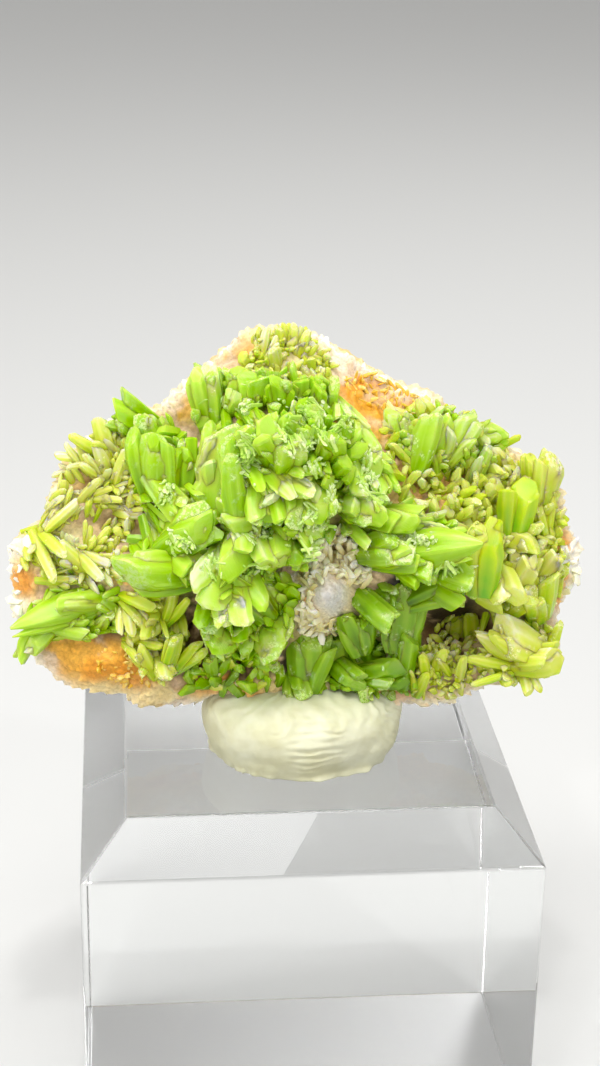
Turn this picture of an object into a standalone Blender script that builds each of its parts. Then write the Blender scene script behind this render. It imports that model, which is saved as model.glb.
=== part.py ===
"""Pyromorphite crystals on a sugary matrix, held by mineral tack on a clear bevelled block.

Metres, +Z up. The origin is the middle of the block's base, and the crystals face -Y.
Tables are in millimetres. A place on the front is given as (x, z) where it shows on the
upright plane through the middle of the block, seen from EYE, and a depth towards EYE.
"""

import math

import bmesh
import bpy
from mathutils import Vector, noise

MM = 0.001

# The clear block
BLOCK_WIDTH = 30.0
BLOCK_HEIGHT = 25.0
BLOCK_BEVEL = 3.0

# The mineral tack
TACK_CENTRE = (0.2, -2.2)
TACK_REACH = (6.8, 6.4)
TACK_HEIGHT = 4.6
TACK_SIDES = 24
TACK_RINGS = 4

# Where the front was measured from, and the middle of what is seen
EYE = Vector((-11.8, -123.9, 90.7))
AIM = Vector((0.0, 0.0, 39.6))

# Free space left between pieces that touch
GAP = 0.3
CRUST = 0.7
BEHIND = 2.0
EDGE_BEHIND = 0.9
BEFORE = 8.0

# Corners nearer than this are one
MERGE = 0.02

# The rock's outline on the upright plane, clockwise from the apex
OUTLINE = [
    (-1.4, 53.9), (0.9, 53.3), (3.2, 51.9), (5.6, 50.3), (8.2, 49.0), (10.6, 47.4), (13.2, 45.7),
    (15.4, 44.5), (17.2, 43.4), (17.9, 41.4), (18.2, 39.8), (19.4, 38.0), (19.3, 36.0),
    (18.4, 34.6), (18.3, 32.6), (18.2, 30.6), (17.2, 28.6), (15.0, 27.8), (13.2, 27.4),
    (10.9, 26.5), (8.6, 26.4), (5.0, 26.5), (2.4, 27.3), (-0.5, 27.2), (-3.3, 26.5), (-4.9, 27.5),
    (-7.2, 26.7), (-9.6, 26.8), (-12.2, 27.6), (-15.6, 28.4), (-17.2, 29.6), (-18.6, 31.2),
    (-19.0, 33.0), (-19.4, 35.0), (-19.6, 37.0), (-19.3, 39.1), (-17.6, 39.9), (-16.9, 41.0),
    (-16.9, 42.4), (-15.8, 44.4), (-14.6, 45.8), (-13.2, 47.2), (-11.4, 48.2), (-9.3, 48.5),
    (-7.6, 50.0), (-5.8, 51.6), (-4.5, 53.2), (-3.0, 53.8),
]
OUTLINE_CENTRE = (0.0, 39.0)
FRONT_RINGS = 8
BACK_RINGS = 5
# Only every fourth or every second corner is used near the middle of the front and of the back
SPARSE = {1: 4, 2: 2, 3: 2, FRONT_RINGS + BACK_RINGS: 2}
BACK_MIDDLE = Vector((0.5, 8.6, 39.5))
BACK_DROP = 0.22
ROUGHNESS = 0.55
ROUGH_SCALE = 0.42

# Depth of the rim towards the eye, by height on the plane
RIM_DEPTHS = [(26.0, 4.6), (30.0, 3.6), (35.0, 2.2), (45.0, 0.4), (54.0, -2.0)]
CROWN = 2.8

# Lumps and hollows of the front: middle (x, z), reach (x, z), rise
FORMS = {
    "dome": (-0.8, 44.5, 5.4, 5.0, 4.2),
    "shoulder": (9.5, 38.0, 3.6, 2.2, 2.2),
    "skirt": (-4.5, 35.0, 3.0, 3.0, 2.0),
    "cheek": (-9.0, 40.5, 2.4, 4.5, 1.2),
    "pale_knob": (2.0, 34.9, 1.7, 2.0, 3.0),
    "cavity": (3.2, 30.3, 3.6, 1.9, -3.2),
    "cave": (11.2, 32.1, 2.4, 1.7, -4.4),
    "left_recess": (-12.6, 41.0, 1.9, 1.7, -1.5),
    "right_recess": (10.4, 43.0, 3.4, 1.7, -1.0),
    "pit": (-7.4, 33.2, 1.1, 1.3, -2.0),
    "left_shelf": (-14.5, 30.0, 3.2, 1.4, 0.9),
}

# Crystal habits: thickness to width, then where each ring of corners is and how wide
HABITS = {
    "prism": (0.86, [(-0.5, 0.9), (0.5, 0.94)]),
    "block": (0.95, [(-0.5, 0.8), (0.36, 1.0), (0.5, 0.76)]),
    "blade": (0.45, [(-0.5, 0.8), (0.3, 1.0), (0.5, 0.62)]),
    "spear": (0.60, [(-0.5, 0.8), (0.05, 1.0), (0.5, 0.2)]),
}

# Each cluster has the outline of the crust it grows from, and its crystals:
# habit, x, z, turn from upright, lean towards the eye, length, width
CLUSTERS = {
    "dome_crystals": {
        "crust": [
            (-6.8, 50.6), (-3.6, 51.0), (0.8, 50.4), (2.9, 48.7), (4.9, 45.8), (6.2, 42.6),
            (5.2, 40.6), (3.6, 39.6), (1.4, 39.2), (0.0, 37.6), (-2.6, 37.2), (-5.2, 37.8),
            (-5.4, 40.8), (-6.4, 42.6), (-6.6, 46.6), (-7.0, 48.6),
        ],
        "colour": (0.30, 0.58, 0.03),
        "crystals": [
            ("prism", -6.1, 49.3, -8, 30, 4.0, 2.1),
            ("block", -4.3, 49.8, -5, 45, 3.0, 1.8),
            ("block", -2.8, 49.7, 4, 40, 3.2, 1.9),
            ("prism", -1.2, 49.3, -6, 50, 2.8, 1.5),
            ("prism", 0.0, 49.5, 6, 45, 2.6, 1.3),
            ("prism", 1.1, 49.1, 16, 45, 2.6, 1.5),
            ("blade", -5.5, 44.4, 6, 12, 6.0, 2.7),
            ("blade", -4.0, 43.4, -5, 16, 5.8, 2.4),
            ("spear", -3.1, 47.6, 150, 30, 2.8, 1.1),
            ("block", -2.2, 46.3, -10, 55, 3.0, 2.1),
            ("block", -1.1, 45.2, 20, 60, 2.6, 1.8),
            ("prism", 0.7, 47.5, 8, 55, 2.6, 1.7),
            ("block", 0.3, 46.0, -15, 65, 2.6, 1.8),
            ("block", 2.2, 45.7, 30, 60, 3.0, 2.4),
            ("blade", 3.1, 47.5, 140, 25, 3.4, 1.3),
            ("prism", 4.1, 45.8, 150, 20, 4.2, 1.6),
            ("prism", 0.8, 44.4, 170, 50, 2.2, 1.5),
            ("blade", -1.7, 43.5, 142, 35, 3.6, 1.6),
            ("blade", -0.5, 43.5, 130, 38, 3.8, 1.6),
            ("prism", -2.9, 41.9, 176, 30, 3.2, 1.6),
            ("prism", -1.5, 41.8, 172, 35, 3.0, 1.6),
            ("prism", -0.2, 41.4, 168, 40, 2.8, 1.6),
            ("prism", 1.3, 42.2, 166, 38, 3.2, 1.8),
            ("prism", 3.8, 43.6, 155, 30, 3.4, 1.4),
            ("prism", 5.0, 43.5, 150, 22, 3.6, 1.4),
            ("block", 4.2, 41.0, 120, 50, 2.8, 2.2),
            ("block", -3.9, 40.2, -100, 45, 2.6, 1.9),
            ("block", -4.0, 38.5, 178, 55, 3.2, 2.8),
            ("block", 0.3, 39.9, -150, 50, 2.6, 2.0),
            ("block", -1.4, 38.4, 170, 58, 2.8, 2.4),
        ],
    },
    "shoulder_crystals": {
        "crust": [
            (6.6, 41.6), (8.6, 40.6), (10.6, 39.9), (12.4, 39.0), (12.2, 35.0), (10.4, 35.0),
            (9.0, 36.3), (6.4, 37.2), (4.9, 37.6), (4.8, 39.4), (5.6, 40.5),
        ],
        "colour": (0.32, 0.60, 0.04),
        "crystals": [
            ("block", 6.3, 40.2, 100, 40, 3.0, 2.2),
            ("block", 6.1, 38.2, 80, 50, 2.8, 2.3),
            ("spear", 9.9, 38.3, 82, 20, 5.4, 3.0),
            ("prism", 8.0, 37.1, 122, 40, 3.2, 1.9),
            ("blade", 8.7, 39.7, 85, 30, 3.2, 1.4),
            ("blade", 7.7, 40.9, 150, 30, 2.4, 1.1),
            ("block", 10.8, 35.9, 112, 38, 3.2, 2.4),
        ],
    },
    "skirt_crystals": {
        "crust": [
            (-6.8, 37.2), (-2.6, 36.8), (-0.4, 36.0), (-0.5, 32.4), (-2.2, 30.8), (-5.2, 30.6),
            (-6.4, 31.8), (-6.2, 34.4),
        ],
        "colour": (0.34, 0.56, 0.05),
        "crystals": [
            ("block", -5.6, 36.0, -150, 35, 4.2, 2.8),
            ("block", -4.3, 34.9, 155, 30, 4.2, 2.4),
            ("block", -5.9, 33.8, -170, 38, 2.8, 2.2),
            ("block", -5.3, 32.4, 172, 35, 2.8, 2.3),
            ("prism", -3.7, 32.0, 176, 30, 2.4, 1.4),
            ("prism", -3.1, 35.2, -40, 40, 3.6, 1.6),
            ("block", -1.8, 32.3, 162, 38, 3.8, 2.7),
            ("prism", -1.6, 34.7, -20, 42, 3.0, 1.6),
            ("prism", -2.7, 30.4, 120, 30, 2.2, 1.4),
        ],
    },
    "cheek_crystals": {
        "crust": [
            (-11.6, 47.9), (-9.0, 48.0), (-7.4, 46.2), (-7.0, 42.6), (-5.8, 40.6), (-6.2, 37.4),
            (-8.0, 36.2), (-10.8, 35.8), (-11.6, 38.0), (-10.0, 40.8), (-10.9, 43.6),
        ],
        "colour": (0.32, 0.58, 0.03),
        "crystals": [
            ("block", -9.8, 45.0, -4, 30, 3.4, 2.2),
            ("prism", -8.6, 44.6, 4, 25, 3.0, 1.5),
            ("block", -11.2, 47.8, -70, 25, 2.6, 1.6),
            ("prism", -10.2, 46.9, -20, 45, 2.4, 1.6),
            ("prism", -7.5, 45.0, 2, 12, 3.0, 1.3),
            ("prism", -8.8, 41.7, 142, 16, 4.4, 1.5),
            ("prism", -9.9, 39.3, 160, 15, 2.8, 1.1),
            ("block", -7.6, 39.5, 60, 42, 3.6, 2.7),
            ("block", -9.9, 36.9, -92, 28, 4.4, 2.8),
            ("block", -7.5, 37.5, 130, 35, 3.0, 2.2),
            ("prism", -6.3, 40.0, 20, 35, 2.6, 1.5),
        ],
    },
    "left_wing_crystals": {
        "crust": [
            (-16.6, 42.0), (-15.4, 44.6), (-13.4, 47.0), (-11.8, 47.2), (-11.4, 44.4), (-10.6, 41.4),
            (-12.0, 38.2), (-12.2, 36.2), (-17.6, 36.2), (-18.9, 38.6), (-17.2, 39.6),
        ],
        "colour": (0.62, 0.68, 0.18),
        "crystals": [
            ("prism", -15.2, 45.3, -86, 12, 2.6, 0.9),
            ("prism", -14.4, 45.6, -20, 20, 2.2, 1.2),
            ("prism", -13.2, 46.9, -25, 22, 2.4, 1.6),
            ("prism", -13.2, 45.3, -10, 40, 2.2, 1.4),
            ("prism", -11.9, 44.8, 20, 40, 2.2, 1.3),
            ("prism", -14.2, 42.9, 40, 20, 2.6, 0.9),
            ("prism", -12.8, 42.3, 88, 20, 2.4, 0.9),
            ("prism", -15.7, 41.3, 48, 15, 2.8, 1.2),
            ("prism", -17.1, 38.0, 150, 24, 3.6, 1.3),
            ("prism", -16.1, 36.5, 88, 14, 3.0, 1.0),
            ("prism", -15.4, 38.3, -40, 30, 2.8, 1.5),
            ("prism", -13.9, 37.2, 130, 32, 2.6, 1.4),
            ("prism", -13.4, 39.4, 35, 22, 2.2, 0.9),
        ],
    },
    "left_spear_crystals": {
        "crust": [
            (-12.4, 35.8), (-17.4, 35.6), (-18.6, 34.0), (-18.4, 32.0), (-14.6, 32.2), (-12.3, 32.4),
        ],
        "colour": (0.34, 0.60, 0.04),
        "crystals": [
            ("spear", -16.4, 34.2, -105, 10, 7.8, 2.2),
            ("prism", -14.6, 34.9, -95, 22, 3.8, 1.5),
            ("prism", -16.0, 32.8, 100, 18, 3.4, 1.1),
            ("prism", -18.7, 31.9, -150, 16, 2.6, 1.2),
            ("prism", -17.5, 32.3, -140, 18, 2.6, 1.4),
            ("prism", -15.3, 33.9, 168, 30, 2.0, 1.0),
            ("prism", -13.5, 33.5, 45, 35, 1.8, 0.9),
            ("prism", -12.9, 34.4, -50, 35, 1.8, 0.9),
        ],
    },
    "left_foot_crystals": {
        "crust": [
            (-11.8, 35.2), (-8.4, 35.3), (-7.9, 33.0), (-7.9, 31.0), (-8.6, 29.2), (-10.4, 29.2),
            (-11.1, 31.0), (-11.9, 32.6),
        ],
        "colour": (0.45, 0.62, 0.08),
        "crystals": [
            ("prism", -10.7, 34.6, 108, 32, 2.2, 1.3),
            ("prism", -11.6, 33.4, 165, 25, 2.4, 1.1),
            ("prism", -10.4, 33.0, -170, 28, 2.2, 1.2),
            ("prism", -8.6, 34.6, 25, 32, 2.2, 1.3),
            ("blade", -8.5, 33.0, 172, 20, 2.2, 1.2),
            ("prism", -10.5, 31.7, 100, 25, 2.6, 1.2),
            ("block", -8.6, 31.2, 20, 32, 2.8, 1.7),
            ("block", -10.6, 30.4, -30, 40, 2.0, 1.3),
            ("block", -9.3, 29.5, 160, 50, 2.2, 1.5),
        ],
    },
    "right_wing_crystals": {
        "crust": [
            (6.6, 47.4), (9.6, 48.2), (12.2, 46.8), (13.0, 45.8), (12.2, 44.6), (9.4, 44.2), (6.8, 45.0),
        ],
        "colour": (0.42, 0.64, 0.06),
        "crystals": [
            ("block", 8.3, 46.2, 14, 28, 3.6, 2.6),
            ("block", 10.4, 46.3, 24, 26, 3.2, 2.1),
            ("blade", 12.2, 46.3, 72, 20, 3.0, 1.7),
            ("prism", 11.2, 47.3, 30, 18, 1.8, 1.0),
            ("prism", 7.0, 47.0, -18, 35, 2.0, 1.3),
            ("prism", 12.3, 44.6, 20, 35, 2.2, 1.4),
        ],
    },
    "right_edge_crystals": {
        "crust": [
            (14.0, 44.4), (16.9, 43.9), (17.6, 41.0), (17.9, 38.4), (18.5, 36.2), (17.8, 33.6),
            (13.4, 33.6), (12.6, 34.8), (12.8, 39.4), (13.9, 40.6),
        ],
        "colour": (0.45, 0.64, 0.08),
        "crystals": [
            ("prism", 16.8, 43.4, 8, 22, 3.0, 1.8),
            ("prism", 15.3, 44.1, -8, 25, 2.4, 1.3),
            ("prism", 16.3, 41.1, -18, 20, 3.2, 1.3),
            ("prism", 14.9, 40.7, 3, 20, 4.4, 1.7),
            ("block", 15.2, 38.8, 98, 45, 2.6, 2.0),
            ("block", 13.1, 37.6, 4, 26, 4.6, 2.3),
            ("block", 13.4, 35.2, 160, 35, 3.2, 2.4),
            ("block", 15.5, 36.6, 10, 50, 2.6, 1.8),
            ("block", 17.3, 36.9, 30, 45, 2.6, 1.7),
            ("block", 16.9, 34.7, -10, 50, 2.6, 1.9),
            ("block", 15.2, 34.2, 35, 45, 2.4, 1.8),
            ("prism", 13.9, 33.1, 174, 30, 2.6, 1.2),
        ],
    },
    "right_foot_crystals": {
        "crust": [
            (13.0, 30.0), (14.6, 31.8), (16.8, 32.6), (18.0, 31.4), (17.8, 29.0), (16.4, 28.0), (13.8, 28.4),
        ],
        "colour": (0.42, 0.60, 0.10),
        "crystals": [
            ("spear", 14.2, 30.7, -65, 24, 4.2, 2.0),
            ("block", 15.6, 31.4, -58, 38, 3.4, 2.5),
            ("block", 16.8, 29.5, 82, 30, 3.2, 2.4),
            ("prism", 13.5, 29.4, -82, 20, 3.2, 1.4),
            ("prism", 16.2, 28.1, 168, 32, 2.4, 1.5),
            ("prism", 14.6, 28.4, 162, 30, 2.2, 1.4),
            ("prism", 18.1, 31.3, 20, 22, 2.4, 1.3),
        ],
    },
    "cavity_crystals": {
        "crust": [
            (-0.2, 31.6), (2.4, 32.2), (4.4, 33.6), (5.2, 35.6), (8.6, 35.8), (8.8, 33.4), (8.2, 29.2),
            (5.6, 28.2), (2.6, 27.8), (-0.4, 28.0),
        ],
        "colour": (0.16, 0.36, 0.02),
        "crystals": [
            ("block", 0.5, 30.1, 4, 14, 3.8, 2.2),
            ("prism", 2.0, 30.0, 0, 16, 3.6, 1.6),
            ("block", 0.1, 28.0, 170, 30, 2.0, 1.5),
            ("prism", 2.9, 30.3, -4, 30, 3.0, 1.5),
            ("block", 3.8, 32.3, -20, 35, 2.6, 1.6),
            ("blade", 4.1, 29.8, 150, 34, 3.2, 1.3),
            ("prism", 3.4, 28.9, 130, 38, 2.6, 1.4),
            ("blade", 4.9, 31.3, -14, 12, 4.6, 1.6),
            ("block", 5.9, 28.9, 82, 30, 2.8, 1.8),
            ("prism", 5.1, 33.6, 136, 28, 3.8, 1.6),
            ("blade", 7.3, 33.1, 5, 18, 4.2, 1.9),
            ("prism", 7.0, 31.0, -45, 35, 2.0, 1.2),
            ("prism", 7.7, 30.0, 4, 26, 3.4, 1.3),
            ("block", 8.9, 35.1, 60, 25, 2.4, 1.6),
            ("prism", 4.6, 27.9, 170, 40, 1.8, 1.2),
        ],
    },
    "cave_crystals": {
        "crust": [
            (8.6, 30.6), (10.2, 33.0), (12.6, 33.2), (12.8, 31.0), (12.2, 28.6), (8.8, 27.8),
        ],
        "colour": (0.36, 0.46, 0.08),
        "crystals": [
            ("prism", 8.9, 29.6, -10, 50, 2.0, 1.4),
            ("prism", 10.0, 29.9, 15, 48, 2.0, 1.4),
            ("prism", 11.6, 29.4, 5, 45, 2.0, 1.2),
            ("prism", 9.0, 28.2, 20, 50, 1.8, 1.2),
            ("blade", 10.9, 32.0, 10, 25, 2.4, 1.0),
            ("block", 12.1, 32.2, -6, 25, 2.4, 1.5),
        ],
    },
    "apex_crystals": {
        "crust": [(-3.2, 53.4), (-0.6, 53.7), (0.4, 53.0), (0.0, 51.6), (-3.4, 51.7)],
        "colour": (0.62, 0.70, 0.20),
        "crystals": [
            ("prism", -2.5, 53.0, 10, 24, 2.4, 1.1),
            ("prism", -1.5, 53.4, -4, 35, 1.8, 1.1),
            ("prism", -0.6, 53.3, 10, 32, 1.9, 1.1),
            ("prism", 0.1, 52.9, 22, 28, 2.0, 1.0),
            ("prism", -1.9, 51.9, -10, 45, 1.8, 1.2),
        ],
    },
}

# How far a crystal lies in the rock, and how much longer its root is when it stands up
SEAT = 0.6
ROOT = 1.4
STOUTNESS = 1.14
CRYSTAL_SIDES = 6


def front_axes():
    """Right, up and towards the eye, as the front is seen."""
    towards = (EYE - AIM).normalized()
    right = Vector((0.0, 0.0, 1.0)).cross(towards).normalized()
    return right, towards.cross(right), towards


RIGHT, UP, TOWARDS = front_axes()


def in_sight(x, z, depth):
    """The point seen at (x, z) on the upright plane, that far towards the eye from it."""
    shown = Vector((x, 0.0, z))
    return shown + (EYE - shown) * (depth / -EYE.y)


def between(table, at):
    """The value of a table of (place, value) pairs at a place between them."""
    for (low, first), (high, second) in zip(table, table[1:]):
        if at <= high:
            share = max(0.0, (at - low) / (high - low))
            return first + (second - first) * share
    return table[-1][1]


def outline_at(angle):
    """Where a ray from the middle of the outline, at a clockwise angle from up, crosses it."""
    ray = Vector((math.sin(angle), math.cos(angle)))
    middle = Vector(OUTLINE_CENTRE)
    for place, start in enumerate(OUTLINE):
        start = Vector(start) - middle
        end = Vector(OUTLINE[(place + 1) % len(OUTLINE)]) - middle
        along = end - start
        span = ray.x * along.y - ray.y * along.x
        if abs(span) < 1e-9:
            continue
        reach = (start.x * along.y - start.y * along.x) / span
        share = (start.x * ray.y - start.y * ray.x) / span
        if reach > 0 and -1e-6 <= share <= 1 + 1e-6:
            return reach
    raise ValueError("the outline is open")


def front_depth(x, z):
    """How far the rock's front stands towards the eye at a place on the plane."""
    off_x = x - OUTLINE_CENTRE[0]
    off_z = z - OUTLINE_CENTRE[1]
    share = min(1.0, math.hypot(off_x, off_z) / outline_at(math.atan2(off_x, off_z)))
    depth = between(RIM_DEPTHS, z) + CROWN * (1 - share**2)
    fade = 1 - share**6
    for mid_x, mid_z, reach_x, reach_z, rise in FORMS.values():
        depth += fade * rise * math.exp(-(((x - mid_x) / reach_x) ** 2) - ((z - mid_z) / reach_z) ** 2)
    return depth


def rough(point):
    """The rock's unevenness at a point, in millimetres."""
    coarse = noise.noise(point * ROUGH_SCALE)
    fine = noise.noise(point * ROUGH_SCALE * 2.3 + Vector((7.0, 3.0, 1.0)))
    return ROUGHNESS * (coarse * 1.6 + fine)


def outward(x, z, bend):
    """Which way the rock's surface faces: to the eye in mid-front, sideways at the rim, then back."""
    angle = math.atan2(x - OUTLINE_CENTRE[0], z - OUTLINE_CENTRE[1])
    sideways = RIGHT * math.sin(angle) + UP * math.cos(angle)
    return sideways * math.sin(bend) + TOWARDS * math.cos(bend)


def rock_rings(swell):
    """Rings of points from the middle of the front, over the rim, to the middle of the back."""
    quarter = 0.5 * math.pi
    rings = []
    for step in range(1, FRONT_RINGS + 1):
        share = math.sin(quarter * step / FRONT_RINGS) ** 0.9
        ring = []
        for x, z in OUTLINE[:: SPARSE.get(step, 1)]:
            x = OUTLINE_CENTRE[0] + (x - OUTLINE_CENTRE[0]) * share
            z = OUTLINE_CENTRE[1] + (z - OUTLINE_CENTRE[1]) * share
            bump = rough(Vector((x, 0.0, z))) * (1.0 if step < FRONT_RINGS else 0.4)
            point = in_sight(x, z, front_depth(x, z) + bump)
            ring.append(point + outward(x, z, quarter * share**6) * swell)
        rings.append(ring)
    for step in range(1, BACK_RINGS + 1):
        turn = quarter * step / (BACK_RINGS + 1)
        ring = []
        for x, z in OUTLINE[:: SPARSE.get(FRONT_RINGS + step, 1)]:
            edge = in_sight(x, z, front_depth(x, z) + 0.4 * rough(Vector((x, 0.0, z))))
            point = edge.lerp(BACK_MIDDLE, 1 - math.cos(turn))
            point.y = edge.y + (BACK_MIDDLE.y - edge.y) * math.sin(turn)
            low = max(0.0, (OUTLINE_CENTRE[1] - edge.z) / 10.0)
            point.z -= BACK_DROP * low * (point.y - edge.y) * math.cos(turn)
            bump = rough(point + Vector((0.0, 20.0, 0.0)))
            point += Vector((0.0, 1.0, 0.5)) * bump
            ring.append(point + outward(x, z, quarter + turn) * swell)
        rings.append(ring)
    return rings


def stitch(mesh, near, far):
    """Triangles between two rings, one of which may have twice the corners of the other."""
    few, many = sorted((near, far), key=len)
    ratio = len(many) // len(few)
    for i, corner in enumerate(few):
        following = few[(i + 1) % len(few)]
        steps = [many[(i * ratio + k) % len(many)] for k in range(ratio + 1)]
        half = (ratio + 1) // 2
        for k in range(ratio):
            mesh.faces.new((corner if k < half else following, steps[k], steps[k + 1]))
        mesh.faces.new((corner, steps[half], following))


def closed_loft(name, rings, first, last):
    """A closed mesh through rings of points, with a point at each end."""
    mesh = bmesh.new()
    rows = [[mesh.verts.new(point * MM) for point in ring] for ring in rings]
    for near, far in zip(rows, rows[1:]):
        stitch(mesh, near, far)
    for row, tip in ((rows[0], first), (rows[-1], last)):
        centre = mesh.verts.new(tip * MM)
        for i, corner in enumerate(row):
            mesh.faces.new((centre, corner, row[(i + 1) % len(row)]))
    return finished(name, mesh)


def finished(name, mesh):
    """An object made from a bmesh, with its faces turned outwards."""
    bmesh.ops.recalc_face_normals(mesh, faces=mesh.faces)
    data = bpy.data.meshes.new(name)
    mesh.to_mesh(data)
    mesh.free()
    piece = bpy.data.objects.new(name, data)
    bpy.context.scene.collection.objects.link(piece)
    return piece


def rock(name, swell=0.0):
    """The matrix, or the same rock swollen by a distance, as a cutter."""
    x, z = OUTLINE_CENTRE
    front = in_sight(x, z, front_depth(x, z) + rough(Vector((x, 0.0, z)))) + TOWARDS * swell
    return closed_loft(name, rock_rings(swell), front, BACK_MIDDLE - TOWARDS * swell)


def seat_depth(stone, x, z):
    """How far towards the eye the rock's own surface is where it shows at (x, z)."""
    found, place, _, _ = stone.ray_cast(EYE * MM, Vector((x, 0.0, z)) - EYE)
    return -place.y / MM if found else front_depth(x, z)


def crystal(name, stone, habit, x, z, turn, lean, length, width, grow=0.0):
    """A six-sided crystal whose middle shows at (x, z), rooted in the rock."""
    flatness, stations = HABITS[habit]
    turn = math.radians(turn)
    lean = math.radians(lean)
    width *= STOUTNESS
    along = (RIGHT * math.sin(turn) + UP * math.cos(turn)) * math.cos(lean) + TOWARDS * math.sin(lean)
    across = (RIGHT * math.cos(turn) - UP * math.sin(turn)).normalized()
    outward = across.cross(along).normalized()
    thick = width * flatness
    rise = 0.5 * length * math.sin(lean) + 0.35 * thick - SEAT
    middle = in_sight(x, z, seat_depth(stone, x, z) + rise)
    roll = noise.noise(Vector((x * 1.7, z * 1.3, length))) * 0.9
    mesh = bmesh.new()
    rows = []
    for place, scale in stations:
        reach = place * length
        if place == -0.5:
            reach -= grow + ROOT * math.sin(lean)
        if place == 0.5:
            reach += grow
        centre = middle + along * reach
        row = []
        for side in range(CRYSTAL_SIDES):
            angle = 2 * math.pi * (side + 0.5) / CRYSTAL_SIDES + roll
            spread = across * math.cos(angle) * (0.5 * width * scale + grow)
            spread += outward * math.sin(angle) * (0.5 * thick * scale + grow)
            row.append(mesh.verts.new((centre + spread) * MM))
        rows.append(row)
    mesh.faces.new(rows[0])
    mesh.faces.new(rows[-1])
    for near, far in zip(rows, rows[1:]):
        for i in range(CRYSTAL_SIDES):
            j = (i + 1) % CRYSTAL_SIDES
            mesh.faces.new((near[i], near[j], far[j], far[i]))
    return finished(name, mesh)


def sight_prism(name, outline, grow=0.0):
    """An outline on the plane carried along the lines of sight, from in the rock to before it."""
    middle = Vector((sum(x for x, z in outline), sum(z for x, z in outline))) / len(outline)
    corners = [Vector(corner) + (Vector(corner) - middle).normalized() * grow for corner in outline]
    depths = [front_depth(x, z) for x, z in outline]
    mesh = bmesh.new()
    behind = []
    for (x, z), depth in zip(corners, depths):
        behind.append(mesh.verts.new(in_sight(x, z, depth - EDGE_BEHIND - grow) * MM))
    before = [mesh.verts.new(in_sight(x, z, max(depths) + BEFORE) * MM) for x, z in corners]
    centre = mesh.verts.new(in_sight(*middle, min(depths) - BEHIND - grow) * MM)
    mesh.faces.new(before)
    for i in range(len(outline)):
        j = (i + 1) % len(outline)
        mesh.faces.new((centre, behind[i], behind[j]))
        mesh.faces.new((behind[i], behind[j], before[j]))
        mesh.faces.new((behind[i], before[j], before[i]))
    return finished(name, mesh)


def as_cutter(piece, collection=None):
    """Hides a helper, and files it in its collection."""
    piece.hide_render = True
    piece.display_type = "WIRE"
    if collection:
        bpy.context.scene.collection.objects.unlink(piece)
        collection.objects.link(piece)
    return piece


def new_collection(name):
    made = bpy.data.collections.new(name)
    bpy.context.scene.collection.children.link(made)
    return made


def boolean(piece, operation, other):
    """Adds an exact Boolean with an object or with a whole collection."""
    step = piece.modifiers.new(operation.lower(), "BOOLEAN")
    step.operation = operation
    step.solver = "EXACT"
    if isinstance(other, bpy.types.Collection):
        step.operand_type = "COLLECTION"
        step.collection = other
    else:
        step.object = other


def largest_body(piece):
    """Applies the piece's modifiers and keeps only its largest connected body."""
    graph = bpy.context.evaluated_depsgraph_get()
    mesh = bmesh.new()
    mesh.from_mesh(bpy.data.meshes.new_from_object(piece.evaluated_get(graph)))
    piece.modifiers.clear()
    bmesh.ops.triangulate(mesh, faces=mesh.faces)
    bmesh.ops.remove_doubles(mesh, verts=mesh.verts, dist=MERGE * MM)
    bmesh.ops.dissolve_degenerate(mesh, edges=mesh.edges, dist=MERGE * MM)
    left = set(mesh.faces)
    bodies = []
    while left:
        body = {left.pop()}
        edge = list(body)
        while edge:
            for side in edge.pop().edges:
                if len(side.link_faces) != 2:
                    continue
                for other in side.link_faces:
                    if other in left:
                        left.remove(other)
                        body.add(other)
                        edge.append(other)
        bodies.append(body)
    keep = max(bodies, key=len)
    bmesh.ops.delete(mesh, geom=[face for face in mesh.faces if face not in keep], context="FACES")
    mesh.to_mesh(piece.data)
    mesh.free()


def material(name, colour, roughness, transmission=0.0):
    made = bpy.data.materials.new(name)
    made.use_nodes = True
    shader = made.node_tree.nodes["Principled BSDF"]
    shader.inputs["Base Color"].default_value = (*colour, 1.0)
    shader.inputs["Roughness"].default_value = roughness
    shader.inputs["Metallic"].default_value = 0.0
    shader.inputs["Transmission Weight"].default_value = transmission
    return made


def paint(piece, *finish):
    piece.data.materials.clear()
    piece.data.materials.append(material(piece.name, *finish))


def acrylic_block():
    """A square block with its top edges cut off at 45 degrees."""
    half = BLOCK_WIDTH / 2
    mesh = bmesh.new()
    rows = []
    for reach, z in ((half, 0.0), (half, BLOCK_HEIGHT - BLOCK_BEVEL), (half - BLOCK_BEVEL, BLOCK_HEIGHT)):
        corners = ((-reach, -reach), (reach, -reach), (reach, reach), (-reach, reach))
        rows.append([mesh.verts.new(Vector((x, y, z)) * MM) for x, y in corners])
    mesh.faces.new(rows[0])
    mesh.faces.new(rows[-1])
    for near, far in zip(rows, rows[1:]):
        for i in range(4):
            j = (i + 1) % 4
            mesh.faces.new((near[i], near[j], far[j], far[i]))
    block = finished("acrylic_block", mesh)
    paint(block, (0.92, 0.94, 0.94), 0.03, 1.0)


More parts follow.
